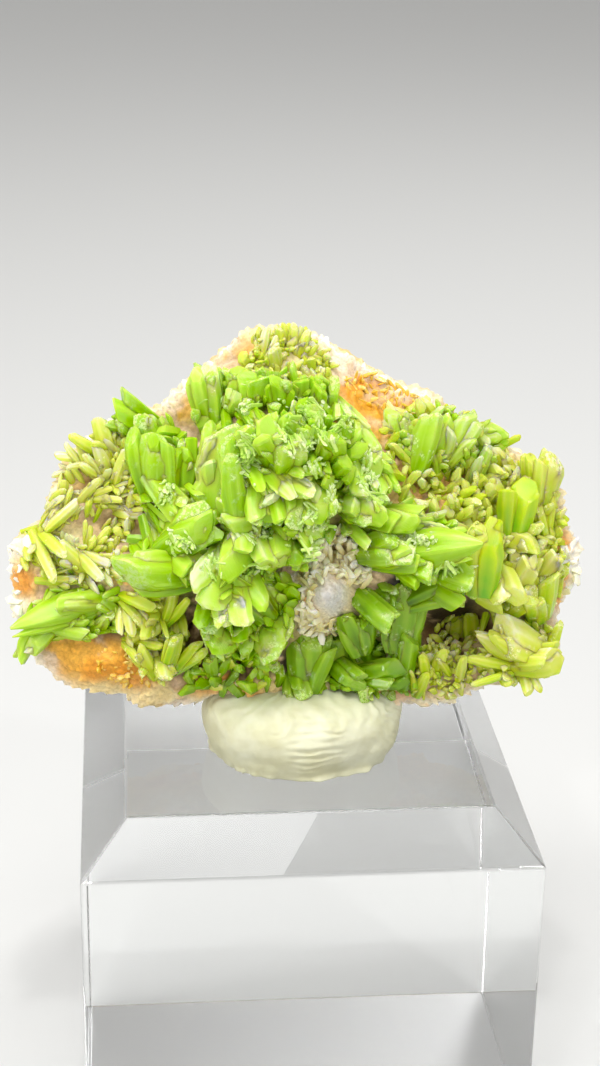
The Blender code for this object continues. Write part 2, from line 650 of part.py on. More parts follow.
def mineral_tack(cutters):
    """A pressed mound on the block, hollowed on top where the stone sits in it."""
    base = BLOCK_HEIGHT + GAP
    rings = []
    for step in range(TACK_RINGS + 1):
        share = math.cos(0.5 * math.pi * step / (TACK_RINGS + 1))
        height = base + TACK_HEIGHT * math.sqrt(1 - share**3)
        ring = []
        for side in range(TACK_SIDES):
            angle = 2 * math.pi * side / TACK_SIDES
            ragged = 1 + 0.10 * noise.noise(Vector((2 * math.cos(angle), 2 * math.sin(angle), 4.0)))
            square = 1 / max(abs(math.cos(angle)) ** 2.6 + abs(math.sin(angle)) ** 2.6, 0.1) ** (1 / 2.6)
            x = TACK_CENTRE[0] + TACK_REACH[0] * share * square * ragged * math.cos(angle)
            y = TACK_CENTRE[1] + TACK_REACH[1] * share * square * ragged * math.sin(angle)
            ring.append(Vector((x, y, height)))
        rings.append(ring)
    bottom = Vector((*TACK_CENTRE, base))
    top = Vector((*TACK_CENTRE, base + TACK_HEIGHT))
    tack = closed_loft("mineral_tack", rings, bottom, top)
    for cutter in cutters:
        boolean(tack, "DIFFERENCE", cutter)
    largest_body(tack)
    paint(tack, (0.86, 0.85, 0.74), 0.7)


def cluster(name, plan, stone, rocks, earlier):
    """Crystals joined with the crust they grow from, clear of the rock and of their neighbours."""
    clear_of_rock, swollen, wider = rocks
    piece = sight_prism(name, plan["crust"])
    members = new_collection(name + "_members")
    grown = new_collection(name + "_grown")
    bed = sight_prism(name + "_bed", plan["crust"], GAP)
    boolean(bed, "INTERSECT", wider)
    as_cutter(bed, grown)
    for number, row in enumerate(plan["crystals"]):
        as_cutter(crystal(f"{name}_{number}", stone, *row), members)
        as_cutter(crystal(f"{name}_{number}_grown", stone, *row, grow=GAP), grown)
    boolean(piece, "INTERSECT", swollen)
    boolean(piece, "UNION", members)
    boolean(piece, "DIFFERENCE", clear_of_rock)
    for neighbour in earlier:
        boolean(piece, "DIFFERENCE", neighbour)
    largest_body(piece)
    paint(piece, plan["colour"], 0.2, 0.3)
    return grown


def clear_scene():
    for piece in list(bpy.data.objects):
        bpy.data.objects.remove(piece, do_unlink=True)


def main():
    clear_scene()
    acrylic_block()
    stone = rock("matrix")
    paint(stone, (0.70, 0.50, 0.25), 0.85)
    bpy.context.view_layer.update()
    rocks = []
    for swell in (GAP, GAP + CRUST, 2 * GAP + CRUST):
        rocks.append(as_cutter(rock(f"rock_swollen_{swell:.1f}", swell)))
    earlier = []
    for name, plan in CLUSTERS.items():
        earlier.append(cluster(name, plan, stone, rocks, earlier))
    mineral_tack([rocks[0], *earlier])


main()
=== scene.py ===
import math

import bpy
import numpy as np
from mathutils import Matrix, Vector
from mathutils.bvhtree import BVHTree


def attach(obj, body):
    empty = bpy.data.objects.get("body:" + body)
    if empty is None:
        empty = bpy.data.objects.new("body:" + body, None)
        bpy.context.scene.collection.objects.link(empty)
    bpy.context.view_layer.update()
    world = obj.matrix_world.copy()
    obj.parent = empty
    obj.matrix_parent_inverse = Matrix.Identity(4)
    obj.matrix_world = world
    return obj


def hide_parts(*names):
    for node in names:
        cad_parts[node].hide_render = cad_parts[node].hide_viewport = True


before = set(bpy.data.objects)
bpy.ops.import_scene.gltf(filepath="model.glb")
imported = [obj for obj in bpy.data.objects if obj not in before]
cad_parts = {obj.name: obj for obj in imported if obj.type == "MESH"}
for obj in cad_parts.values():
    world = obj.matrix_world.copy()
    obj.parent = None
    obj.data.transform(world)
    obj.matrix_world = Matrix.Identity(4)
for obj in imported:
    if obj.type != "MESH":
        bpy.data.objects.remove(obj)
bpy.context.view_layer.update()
mm = 0.001  # lengths below are in millimetres, and become metres when a mesh is made

# The front is described on an upright plane through the middle of the block, as the eye sees it:
# x to the right, z up, and a depth from that plane towards the eye.
sight = {
    "eye": (-11.8, -123.9, 90.7),
    "aim": (0.03, 0.0, 39.58),
    "roll": 1.01,  # degrees
    "lens": 67.23,
    "sensor": 36.0,
}

rock = {
    "middle": (0.0, 39.0),
    "outline": [  # clockwise from the apex
        (-1.4, 53.9), (0.9, 53.3), (3.2, 51.9), (5.6, 50.3), (8.2, 49.0), (10.6, 47.4), (13.2, 45.7),
        (15.4, 44.5), (17.2, 43.4), (17.9, 41.4), (18.2, 39.8), (19.4, 38.0), (19.3, 36.0),
        (18.4, 34.6), (18.3, 32.6), (18.2, 30.6), (17.2, 28.6), (15.0, 27.8), (13.2, 27.4),
        (10.9, 26.5), (8.6, 26.4), (5.0, 26.5), (2.4, 27.3), (-0.5, 27.2), (-3.3, 26.5), (-4.9, 27.5),
        (-7.2, 26.7), (-9.6, 26.8), (-12.2, 27.6), (-15.6, 28.4), (-17.2, 29.6), (-18.6, 31.2),
        (-19.0, 33.0), (-19.4, 35.0), (-19.6, 37.0), (-19.3, 39.1), (-17.6, 39.9), (-16.9, 41.0),
        (-16.9, 42.4), (-15.8, 44.4), (-14.6, 45.8), (-13.2, 47.2), (-11.4, 48.2), (-9.3, 48.5),
        (-7.6, 50.0), (-5.8, 51.6), (-4.5, 53.2), (-3.0, 53.8),
    ],
    "backMiddle": (0.5, 8.6, 39.5),
    "backDrop": 0.22,
    "rimHeights": (26.0, 30.0, 35.0, 45.0, 54.0),
    "rimDepths": (4.6, 3.6, 2.2, 0.4, -2.0),
    "crown": 2.8,
    "forms": {  # x, z, reach x, reach z, rise
        "dome": (-0.8, 44.5, 5.4, 5.0, 4.2),
        "shoulder": (9.5, 38.0, 3.6, 2.2, 2.2),
        "skirt": (-4.5, 35.0, 3.0, 3.0, 2.0),
        "cheek": (-9.0, 40.5, 2.4, 4.5, 1.2),
        "paleKnob": (2.0, 34.9, 1.7, 2.0, 3.0),
        "cavity": (3.2, 30.3, 3.6, 1.9, -3.2),
        "cave": (11.2, 32.1, 2.4, 1.7, -4.4),
        "leftRecess": (-12.6, 41.0, 1.9, 1.7, -1.5),
        "rightRecess": (10.4, 43.0, 3.4, 1.7, -1.0),
        "pit": (-7.4, 33.2, 1.1, 1.3, -2.0),
        "leftShelf": (-14.5, 30.0, 3.2, 1.4, 0.9),
    },
    "around": 480,
    "frontRings": 90,
    "backRings": 114,
    "lump": 0.44,  # unevenness a few millimetres across
    "lumpSize": 2.6,
    "sugar": 0.2,  # height of the grains
    "sugarSize": 0.62,
    "smoother": [(-14.6, 40.2, 2.6, 2.4, 0.75), (2.1, 34.8, 1.4, 2.0, 0.2), (-14.6, 30.4, 3.4, 1.5, 0.5)],
    "ledge": 0.5,  # height of the broken ledges along the rim, and on the knob
    "ledgeSize": 2.1,
    "knob": (2.1, 34.9, 1.7, 2.2),
    "backLump": 0.45,
    "backLumpSize": 3.4,
    "pit": 0.07,  # depth of the finest unevenness
    "pitSize": 0.34,
}


def unit(v):
    return v / np.linalg.norm(v, axis=-1, keepdims=True)


eye = np.array(sight["eye"])
towards = unit(eye - np.array(sight["aim"]))
rightWay = unit(np.cross((0.0, 0.0, 1.0), towards))
upWay = np.cross(towards, rightWay)


def inSight(x, z, depth):
    # the point seen at (x, z) on the plane, moved along the line of sight until it is depth nearer the eye
    shown = np.stack([x, np.zeros_like(x), z], axis=-1)
    return shown + (eye - shown) * (np.asarray(depth) / -eye[1])[..., None]


def latticeValue(cell, seed):
    # a repeatable number from 0 to 1 for each whole-number lattice point
    h = (cell[..., 0] * 73856093) ^ (cell[..., 1] * 19349663) ^ (cell[..., 2] * 83492791) ^ (seed * 40503)
    h = (h ^ (h >> 13)) * 1274126177 & 0x7FFFFFFF
    h = (h ^ (h >> 16)) * 668265263 & 0x7FFFFFFF
    return (h & 0xFFFFF) / 0xFFFFF


def softNoise(p, size, seed=0):
    # value noise from -1 to 1: the eight lattice values round a point, mixed by its eased place among them
    q = np.asarray(p) / size
    base = np.floor(q).astype(np.int64)
    f = q - base
    f = f * f * (3 - 2 * f)
    total = 0
    for i in (0, 1):
        for j in (0, 1):
            for k in (0, 1):
                w = np.abs(1 - i - f[..., 0]) * np.abs(1 - j - f[..., 1]) * np.abs(1 - k - f[..., 2])
                total = total + w * latticeValue(base + np.array((i, j, k)), seed)
    return total * 2 - 1


def layeredNoise(p, size, layers, seed=0):
    # soft noise summed over halving sizes and halving strengths
    return sum(softNoise(p, size / 2**n, seed + 11 * n) / 2**n for n in range(layers))


def cells(p, size, seed=0):
    # distance to the nearest and to the second nearest of scattered points, and a number for the nearest
    q = np.asarray(p) / size
    base = np.floor(q).astype(np.int64)
    near = np.full(q.shape[:-1], 9.0)
    second = near.copy()
    number = np.zeros_like(near)
    for i in (-1, 0, 1):
        for j in (-1, 0, 1):
            for k in (-1, 0, 1):
                cell = base + np.array((i, j, k))
                spot = cell + np.stack([latticeValue(cell, seed + s) for s in (1, 2, 3)], axis=-1)
                far = np.linalg.norm(q - spot, axis=-1)
                closer = far < near
                second = np.where(closer, near, np.minimum(second, far))
                number = np.where(closer, latticeValue(cell, seed + 4), number)
                near = np.minimum(near, far)
    return near, second, number


def outlineTable():
    # the outline as distance from its middle for each clockwise angle from up
    points = np.array(rock["outline"])
    steps = np.linspace(0, 1, 24, endpoint=False)[None, :, None]
    line = (points[:, None] * (1 - steps) + np.roll(points, -1, axis=0)[:, None] * steps).reshape(-1, 2)
    off = line - np.array(rock["middle"])
    angle = np.arctan2(off[:, 0], off[:, 1])
    order = np.argsort(angle)
    return angle[order], np.hypot(off[:, 0], off[:, 1])[order]


outlineAngles, outlineReaches = outlineTable()


def rimReach(angle):
    angle = np.mod(np.asarray(angle) + math.pi, 2 * math.pi) - math.pi
    return np.interp(angle, outlineAngles, outlineReaches, period=2 * math.pi)


def bell(x, z, midX, midZ, reachX, reachZ):
    # 1 in the middle of an oval place, falling away smoothly with its reach
    return np.exp(-(((x - midX) / reachX) ** 2) - ((z - midZ) / reachZ) ** 2)


def frontDepth(x, z):
    # the rim's depth at this height, plus a shallow crown, plus a bell for each lump or hollow
    offX, offZ = x - rock["middle"][0], z - rock["middle"][1]
    share = np.minimum(1.0, np.hypot(offX, offZ) / rimReach(np.arctan2(offX, offZ)))
    depth = np.interp(z, rock["rimHeights"], rock["rimDepths"]) + rock["crown"] * (1 - share**2)
    for *place, rise in rock["forms"].values():
        depth = depth + (1 - share**6) * rise * bell(x, z, *place)
    flat = np.stack([x, np.zeros_like(x), z], axis=-1)
    return depth + rock["lump"] * layeredNoise(flat, rock["lumpSize"], 2, 5) * (1 - 0.5 * share**4)


def rockSurface(around, ringsFront, ringsBack):
    # front: the outline shrunk towards its middle, at its depth; back: the rim drawn over an elliptic dome.
    # Returns points ring by ring, the way each faces, and its x, z and share, which is past 1 on the back
    turn = np.linspace(0, 2 * math.pi, around, endpoint=False)[None, :]
    reach = rimReach(turn)
    share = np.sin(0.5 * math.pi * np.arange(1, ringsFront + 1) / ringsFront)[:, None] ** 0.9
    x = rock["middle"][0] + reach * np.sin(turn) * share
    z = rock["middle"][1] + reach * np.cos(turn) * share
    front = inSight(x, z, frontDepth(x, z))
    side = rightWay * np.sin(turn)[..., None] + upWay * np.cos(turn)[..., None]
    bend = (0.5 * math.pi * share**6)[..., None]
    facing = side * np.sin(bend) + towards * np.cos(bend)
    over = (0.5 * math.pi * np.arange(1, ringsBack + 1) / (ringsBack + 1))[:, None]
    rim = front[-1][None]
    middle = np.array(rock["backMiddle"])
    back = rim + (middle - rim) * (1 - np.cos(over))[..., None]
    back[..., 1] = rim[..., 1] + (middle[1] - rim[..., 1]) * np.sin(over)
    low = np.maximum(0.0, (rock["middle"][1] - rim[..., 2]) / 10.0)
    back[..., 2] -= rock["backDrop"] * low * (back[..., 1] - rim[..., 1]) * np.cos(over)
    backFacing = side * np.cos(over)[..., None] - towards * np.sin(over)[..., None]
    points = np.concatenate([front, back])
    ways = unit(np.concatenate([facing, backFacing]))
    goOn = ((0, ringsBack), (0, 0))  # the rim's x and z go on along the back
    shares = np.concatenate([share * np.ones_like(x), 1 + over / (0.5 * math.pi) * np.ones_like(x[:1])])
    plane = np.stack([np.pad(x, goOn, "edge"), np.pad(z, goOn, "edge"), shares], axis=-1)
    return points, ways, plane


def tint(red, green, blue):
    # a screen colour of 0 to 255 as the linear light that shaders take
    c = np.array((red, green, blue)) / 255.0
    return np.where(c <= 0.04045, c / 12.92, ((c + 0.055) / 1.055) ** 2.4)


def addObject(name, data):
    made = bpy.data.objects.new(name, data)
    bpy.context.scene.collection.objects.link(made)
    return made


def meshPiece(name, points, faces, node=None, growth=None, strokes=None, sharpPast=180):
    # a piece from points and groups of faces, each group an array of corner numbers. Growth is four numbers
    # for each point, strokes a flat place for each face corner; edges past sharpPast degrees stay crisp
    mesh = bpy.data.meshes.new(name)
    corners = np.concatenate([f.ravel() for f in faces]).astype(np.int32)
    sizes = np.concatenate([np.full(len(f), f.shape[1]) for f in faces])
    mesh.vertices.add(len(points))
    mesh.vertices.foreach_set("co", (np.asarray(points) * mm).astype(np.float32).ravel())
    mesh.loops.add(len(corners))
    mesh.loops.foreach_set("vertex_index", corners)
    mesh.polygons.add(len(sizes))
    mesh.polygons.foreach_set("loop_start", (np.cumsum(sizes) - sizes).astype(np.int32))
    mesh.polygons.foreach_set("use_smooth", np.ones(len(sizes), bool))
    mesh.update(calc_edges=True)
    mesh.validate()
    if sharpPast < 180:
        mesh.set_sharp_from_angle(angle=math.radians(sharpPast))
    if growth is not None:
        layer = mesh.attributes.new("growth", "FLOAT_COLOR", "POINT")
        layer.data.foreach_set("color", np.asarray(growth, np.float32).ravel())
    if strokes is not None:
        layer = mesh.uv_layers.new(name="strokes")
        layer.data.foreach_set("uv", np.asarray(strokes, np.float32).ravel())
    piece = addObject(name, mesh)
    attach(piece, "root")
    if node:
        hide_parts(node)
    return piece


def ringFaces(rings, around):
    # quads between rings of points numbered ring by ring, the way round closed
    r = np.arange(rings - 1)[:, None] * around
    a = np.arange(around)[None, :]
    b = (a + 1) % around
    return np.stack([r + a, r + b, r + around + b, r + around + a], axis=-1).reshape(-1, 4)


def withEnds(rings):
    # what the rings hold in one list, then the mean of the first and of the last, for the ends' middles
    return np.concatenate([rings.reshape(-1, rings.shape[-1]), [rings[0].mean(0), rings[-1].mean(0)]])


def closedFaces(rings, around):
    # quads between the rings, and a fan of triangles from the middle of each end
    a = np.arange(around)
    b = (a + 1) % around
    last, middle = (rings - 1) * around, rings * around
    start = np.stack([np.full(around, middle), b, a], axis=-1)
    end = np.stack([np.full(around, middle + 1), last + a, last + b], axis=-1)
    return [ringFaces(rings, around), start, end]


# Colours of the rock, and where each one lies: x, z, reach x, reach z, how strong
rockTints = {
    "base": tint(236, 212, 150),
    "orange": tint(232, 150, 16),
    "amber": tint(228, 166, 40),
    "tan": tint(240, 222, 172),
    "pink": tint(240, 224, 180),
    "white": tint(250, 244, 230),
    "grey": tint(224, 221, 216),
    "umber": tint(196, 140, 66),
    # a brown of the rock itself, also used as painted shade in the recesses and in the gaps between crystals
    "brownAndShade": tint(96, 60, 24),
    # near black: painted shade for the cave, the cavity, the pits and the gaps under the crystals
    "hollowShade": tint(34, 22, 10),
    "olive": tint(120, 118, 30),
}
rockPatches = [
    ("olive", -0.5, 44.0, 7.0, 6.5, 0.85),
    ("olive", -4.0, 34.5, 4.5, 4.0, 0.8),
    ("olive", -9.0, 42.0, 2.8, 6.0, 0.7),
    ("olive", 4.5, 30.6, 4.6, 3.2, 0.9),
    ("olive", 9.5, 38.0, 4.0, 2.4, 0.8),
    ("olive", 15.2, 37.5, 3.0, 4.0, 0.6),
    ("olive", 15.8, 30.5, 2.6, 2.4, 0.6),
    ("orange", 5.2, 49.4, 3.0, 1.7, 0.95),
    ("orange", 3.4, 50.6, 1.2, 1.0, 0.7),
    ("amber", -4.3, 52.4, 1.6, 1.3, 0.8),
    ("amber", -8.2, 48.9, 1.6, 1.1, 0.7),
    ("tan", -0.6, 51.9, 1.6, 0.9, 0.7),
    ("orange", -19.0, 36.4, 1.2, 1.3, 0.9),
    ("orange", -11.9, 37.5, 0.9, 1.4, 0.8),
    ("amber", -14.4, 30.6, 4.2, 2.1, 0.95),
    ("amber", 6.2, 48.6, 3.0, 1.4, 0.6),
    ("white", -19.4, 34.4, 0.8, 1.0, 0.9),
    ("white", -19.0, 38.8, 1.0, 0.8, 0.7),
    ("orange", -11.4, 29.4, 1.5, 1.4, 0.8),
    ("orange", -14.0, 29.6, 1.1, 0.9, 0.7),
    ("pink", -14.6, 40.2, 2.3, 2.2, 0.85),
    ("pink", -12.4, 38.8, 1.6, 1.4, 0.7),
    # brown patches: partly the rock's own brown, partly painted shade in the recesses, the cave and the gaps
    # between crystals
    ("brownAndShade", -12.8, 43.4, 1.5, 1.2, 0.85),
    ("brownAndShade", -11.6, 40.2, 1.5, 0.9, 0.5),
    ("orange", -6.9, 40.6, 0.8, 1.3, 0.95),
    ("brownAndShade", -6.5, 43.0, 0.7, 1.6, 0.6),
    ("umber", 9.8, 43.2, 4.4, 2.2, 0.75),
    ("umber", 14.0, 40.6, 2.6, 3.0, 0.7),
    ("umber", -13.0, 42.4, 3.0, 2.2, 0.5),
    ("amber", 12.0, 42.6, 2.2, 1.4, 0.5),
    ("brownAndShade", 6.0, 45.0, 0.8, 1.6, 0.7),
    ("brownAndShade", 10.8, 43.9, 1.1, 0.7, 0.6),
    ("brownAndShade", 11.2, 32.0, 2.9, 2.4, 0.95),
    # near-black patches: painted shade in the cave, the cavity, the pits and under the skirt
    ("hollowShade", 10.8, 33.4, 1.9, 1.3, 0.9),
    ("hollowShade", 5.8, 35.6, 2.0, 1.8, 1.0),
    ("brownAndShade", -4.6, 29.6, 3.6, 1.5, 0.9),
    ("hollowShade", -5.8, 30.9, 2.2, 1.0, 0.7),
    ("brownAndShade", -10.4, 32.7, 3.6, 1.0, 0.85),
    ("hollowShade", -7.0, 33.2, 1.1, 1.5, 0.8),
    ("brownAndShade", -6.9, 30.6, 1.2, 2.2, 0.85),
    ("hollowShade", -14.2, 33.2, 0.9, 0.8, 0.7),
    ("hollowShade", -0.8, 30.2, 0.9, 1.1, 0.8),
    ("brownAndShade", 10.0, 28.6, 3.0, 1.2, 0.5),
    ("orange", -6.0, 28.2, 1.6, 0.9, 0.6),
    ("orange", -3.6, 27.5, 1.2, 0.8, 0.6),
    ("orange", 6.6, 27.3, 1.6, 0.7, 0.6),
    ("orange", 18.3, 37.4, 0.6, 2.2, 0.8),
    ("orange", 18.0, 33.4, 0.5, 1.6, 0.7),
    ("white", 19.3, 36.9, 0.8, 1.6, 1.0),
    ("white", 1.6, 51.2, 1.3, 0.9, 0.7),
    ("white", 1.6, 36.4, 2.4, 0.8, 0.6),
    ("white", 17.8, 33.2, 0.5, 0.5, 0.7),
    ("amber", 4.4, 47.6, 2.2, 1.8, 0.7),
    ("tan", 2.1, 34.9, 1.9, 2.4, 0.8),
    ("grey", 2.1, 34.9, 1.1, 1.6, 1.0),
    ("pink", 1.2, 33.2, 1.0, 0.9, 0.6),
    ("orange", -0.4, 34.9, 0.8, 0.7, 0.9),
]
backMottling = [  # tint, size, layers, seed, contrast, level, the strongest
    ("amber", 5.0, 2, 31, 1.3, 0.2, 0.8),
    ("orange", 3.1, 3, 32, 1.9, -0.5, 0.85),
    ("white", 4.2, 3, 33, 2.0, -0.25, 0.9),
    ("brownAndShade", 3.3, 3, 34, 2.4, -1.1, 0.6),
]


def rockColour(points, x, z, share):
    # the base tint, mixed in turn towards each patch's tint by its bell and broken up by noise; then the
    # mottling of the back and the pale broken rim
    colour = np.ones(points.shape) * rockTints["base"]
    broken = layeredNoise(points, 1.7, 3, 21)
    fine = layeredNoise(points, 0.55, 2, 22)

    def blend(name, weight):
        nonlocal colour
        w = np.clip(weight, 0, 1)[..., None]
        colour = colour * (1 - w) + rockTints[name] * w

    blend("tan", 0.7 * (broken > 0.1))
    onFront = np.clip((1.04 - share) * 20, 0, 1)
    for name, *place, strength in rockPatches:
        blend(name, onFront * strength * np.clip(bell(x, z, *place) * 1.9 + 0.35 * broken - 0.12, 0, 1))
    behind = np.clip((share - 1.08) * 8, 0, 1)
    for name, size, layers, seed, contrast, level, most in backMottling:
        blend(name, behind * np.clip(contrast * layeredNoise(points, size, layers, seed) + level, 0, most))
    rim = np.exp(-(((share - 1.03) / 0.055) ** 2))
    blend("white", rim * np.clip(0.75 + broken, 0.1, 0.95))
    blend("amber", rim * np.clip(2 * fine - 0.9, 0, 0.6))
    return colour


def rockSugar(x, z, share):
    # how grainy the rock is at a place: smoother in some hollows and on the knob, coarse along the broken rim
    smoothed = sum(much * bell(x, z, *place) for *place, much in rock["smoother"])
    return np.clip(1 - smoothed, 0.15, 1) * (1 + 1.2 * np.exp(-(((share - 1.02) / 0.08) ** 2)))


def dressRock():
    # the rock's surface pushed outwards by grains, each a rounded cell, and by broken ledges
    points, ways, plane = rockSurface(rock["around"], rock["frontRings"], rock["backRings"])
    x, z, share = np.moveaxis(plane, -1, 0)
    near, second, number = cells(points, rock["sugarSize"], 3)
    grain = np.clip((second - near) * 2.2, 0, 1) * (0.35 + 0.65 * number)
    near, second, number = cells(points, rock["ledgeSize"], 7)
    ledge = np.clip((second - near) * 1.6, 0, 1) * (number - 0.35)
    rough = rockSugar(x, z, share)
    lift = rock["sugar"] * (grain * 1.5 - 0.7) * rough
    onKnob = bell(x, z, *rock["knob"])
    lift += rock["ledge"] * ledge * rough * np.clip((share - 0.8) * 4 + 3 * onKnob, 0.15, 1.6)
    behind = np.clip((share - 1.0) * 6, 0, 1)
    lift += rock["backLump"] * layeredNoise(points, rock["backLumpSize"], 3, 9) * behind
    lift += rock["pit"] * layeredNoise(points, rock["pitSize"], 2, 4)
    points = points + ways * lift[..., None]
    # each grain paler in its middle and darker towards its edges, painted shade in the creases between
    # grains, times a random tone for each grain
    shade = withEnds(rockColour(points, x, z, share) * (0.82 + 0.3 * np.clip(grain, 0, 1))[..., None])
    growth = np.concatenate([shade, np.ones((len(shade), 1))], axis=1)
    faces = [group[:, ::-1] for group in closedFaces(len(points), rock["around"])]
    return meshPiece("matrixRock", withEnds(points), faces, "matrix", growth=growth)


# How each habit is drawn: thickness to width, how far the end slants, how wide the main crystal is, how many
# smaller ones it has beside it, their widths, how far they splay, and rings as place along and width there
habits = {
    "prism": {"flat": 0.86, "slant": 0.36, "main": 0.9, "beside": 3, "share": (0.4, 0.66), "splay": 7.0,
              "rings": [(0.0, 0.8), (0.3, 0.95), (0.7, 1.0), (0.96, 0.98), (1.0, 0.88)]},
    "block": {"flat": 0.94, "slant": 0.44, "main": 0.84, "beside": 4, "share": (0.42, 0.72), "splay": 12.0,
              "rings": [(0.0, 0.76), (0.3, 0.94), (0.7, 1.02), (0.96, 0.99), (1.0, 0.88)]},
    "blade": {"flat": 0.36, "slant": 0.4, "main": 0.92, "beside": 4, "share": (0.35, 0.62), "splay": 10.0,
              "jag": 0.09,
              "rings": [(0.0, 0.62), (0.18, 0.84), (0.3, 0.95), (0.4, 0.9), (0.52, 1.02), (0.63, 0.92),
                        (0.75, 0.97), (0.86, 0.8), (0.94, 0.8), (1.0, 0.6)]},
    "spear": {"flat": 0.56, "slant": 0.05, "main": 0.95, "beside": 3, "share": (0.35, 0.6), "splay": 6.0,
              "rings": [(0.0, 0.64), (0.2, 0.9), (0.45, 1.0), (0.7, 0.78), (0.9, 0.36), (1.0, 0.1)]},
    "rice": {"flat": 0.8, "slant": 0.3, "main": 0.66, "beside": 2, "share": (0.36, 0.58), "splay": 36.0,
             "rings": [(0.0, 0.7), (0.3, 0.94), (0.6, 1.0), (0.93, 0.86), (1.0, 0.6)]},
    "bunch": {"flat": 0.9, "slant": 0.4, "main": 0.7, "beside": 4, "share": (0.34, 0.56), "splay": 24.0,
              "rings": [(0.0, 0.74), (0.3, 0.94), (0.7, 1.0), (0.94, 0.96), (1.0, 0.84)]},
}
seat = {  # how the large ones stand and differ
    "sunk": 0.6,
    "root": 1.4,  # how much longer a crystal is inside the rock
    "stout": 1.12,  # how much wider than listed
    "turned": 25,  # degrees about its length
    "length": (0.9, 1.0),  # shares of the listed length
    "besideLength": (0.7, 1.02),
    "tone": 0.13,
    "deeper": 0.04,  # how much deeper in tone than the small ones
}
smallHabits = {  # for the hundreds of small ones, which have six sides
    "grain": {"flat": 0.8, "slant": 0.5, "rings": [(0.0, 0.7), (0.4, 0.94), (0.9, 1.0), (1.0, 0.8)]},
    "needle": {"flat": 0.72, "slant": 0.1, "rings": [(0.0, 0.7), (0.45, 1.0), (0.84, 0.88), (1.0, 0.4)]},
    "leaf": {"flat": 0.36, "slant": 0.0, "rings": [(0.0, 0.6), (0.4, 1.0), (0.78, 0.74), (1.0, 0.14)]},
}
followed = (0, 45, 34)  # turn, lean and scatter in degrees where small crystals follow the large ones
uneven = {  # how crystals differ from a plain prism and from each other
    "corner": 0.2,  # share of the width
    "cornerTurn": 0.22,  # radians
    "eased": 0.09,
    "swell": (0.98, 1.03),
    "narrowing": (0.4, 0.6),
    "bend": (0.13, 0.1),
    "jag": 0.03,
    # painted highlights: the corners of crystals painted paler and the middles of their sides darker, and
    # faces that look upwards painted paler
    "paintedCornerLight": 0.14,
    "paintedTopLight": 0.26,
    "strokes": 2.9,  # how far the strokes run round a crystal, in its widths
}


def directions(turn, lean):
    # along a crystal turned clockwise from upright and leaning towards the eye, in degrees, and across it
    turn, lean = np.radians(turn)[..., None], np.radians(lean)[..., None]
    along = (rightWay * np.sin(turn) + upWay * np.cos(turn)) * np.cos(lean) + towards * np.sin(lean)
    across = rightWay * np.cos(turn) - upWay * np.sin(turn)
    return along, across


def turnedBy(v, about, degrees):
    # v turned about a unit direction: its part along the direction stays, the rest turns in its plane
    a = np.radians(degrees)[..., None]
    still = about * np.sum(v * about, axis=-1, keepdims=True)
    return still + (v - still) * np.cos(a) + np.cross(about, v) * np.sin(a)


def growthOf(tone, frost):
    # for each crystal how pale it is, the place along it, which is set later, and how frosted it may be
    return np.stack([tone, np.zeros_like(tone), frost, np.ones_like(tone)], axis=-1)


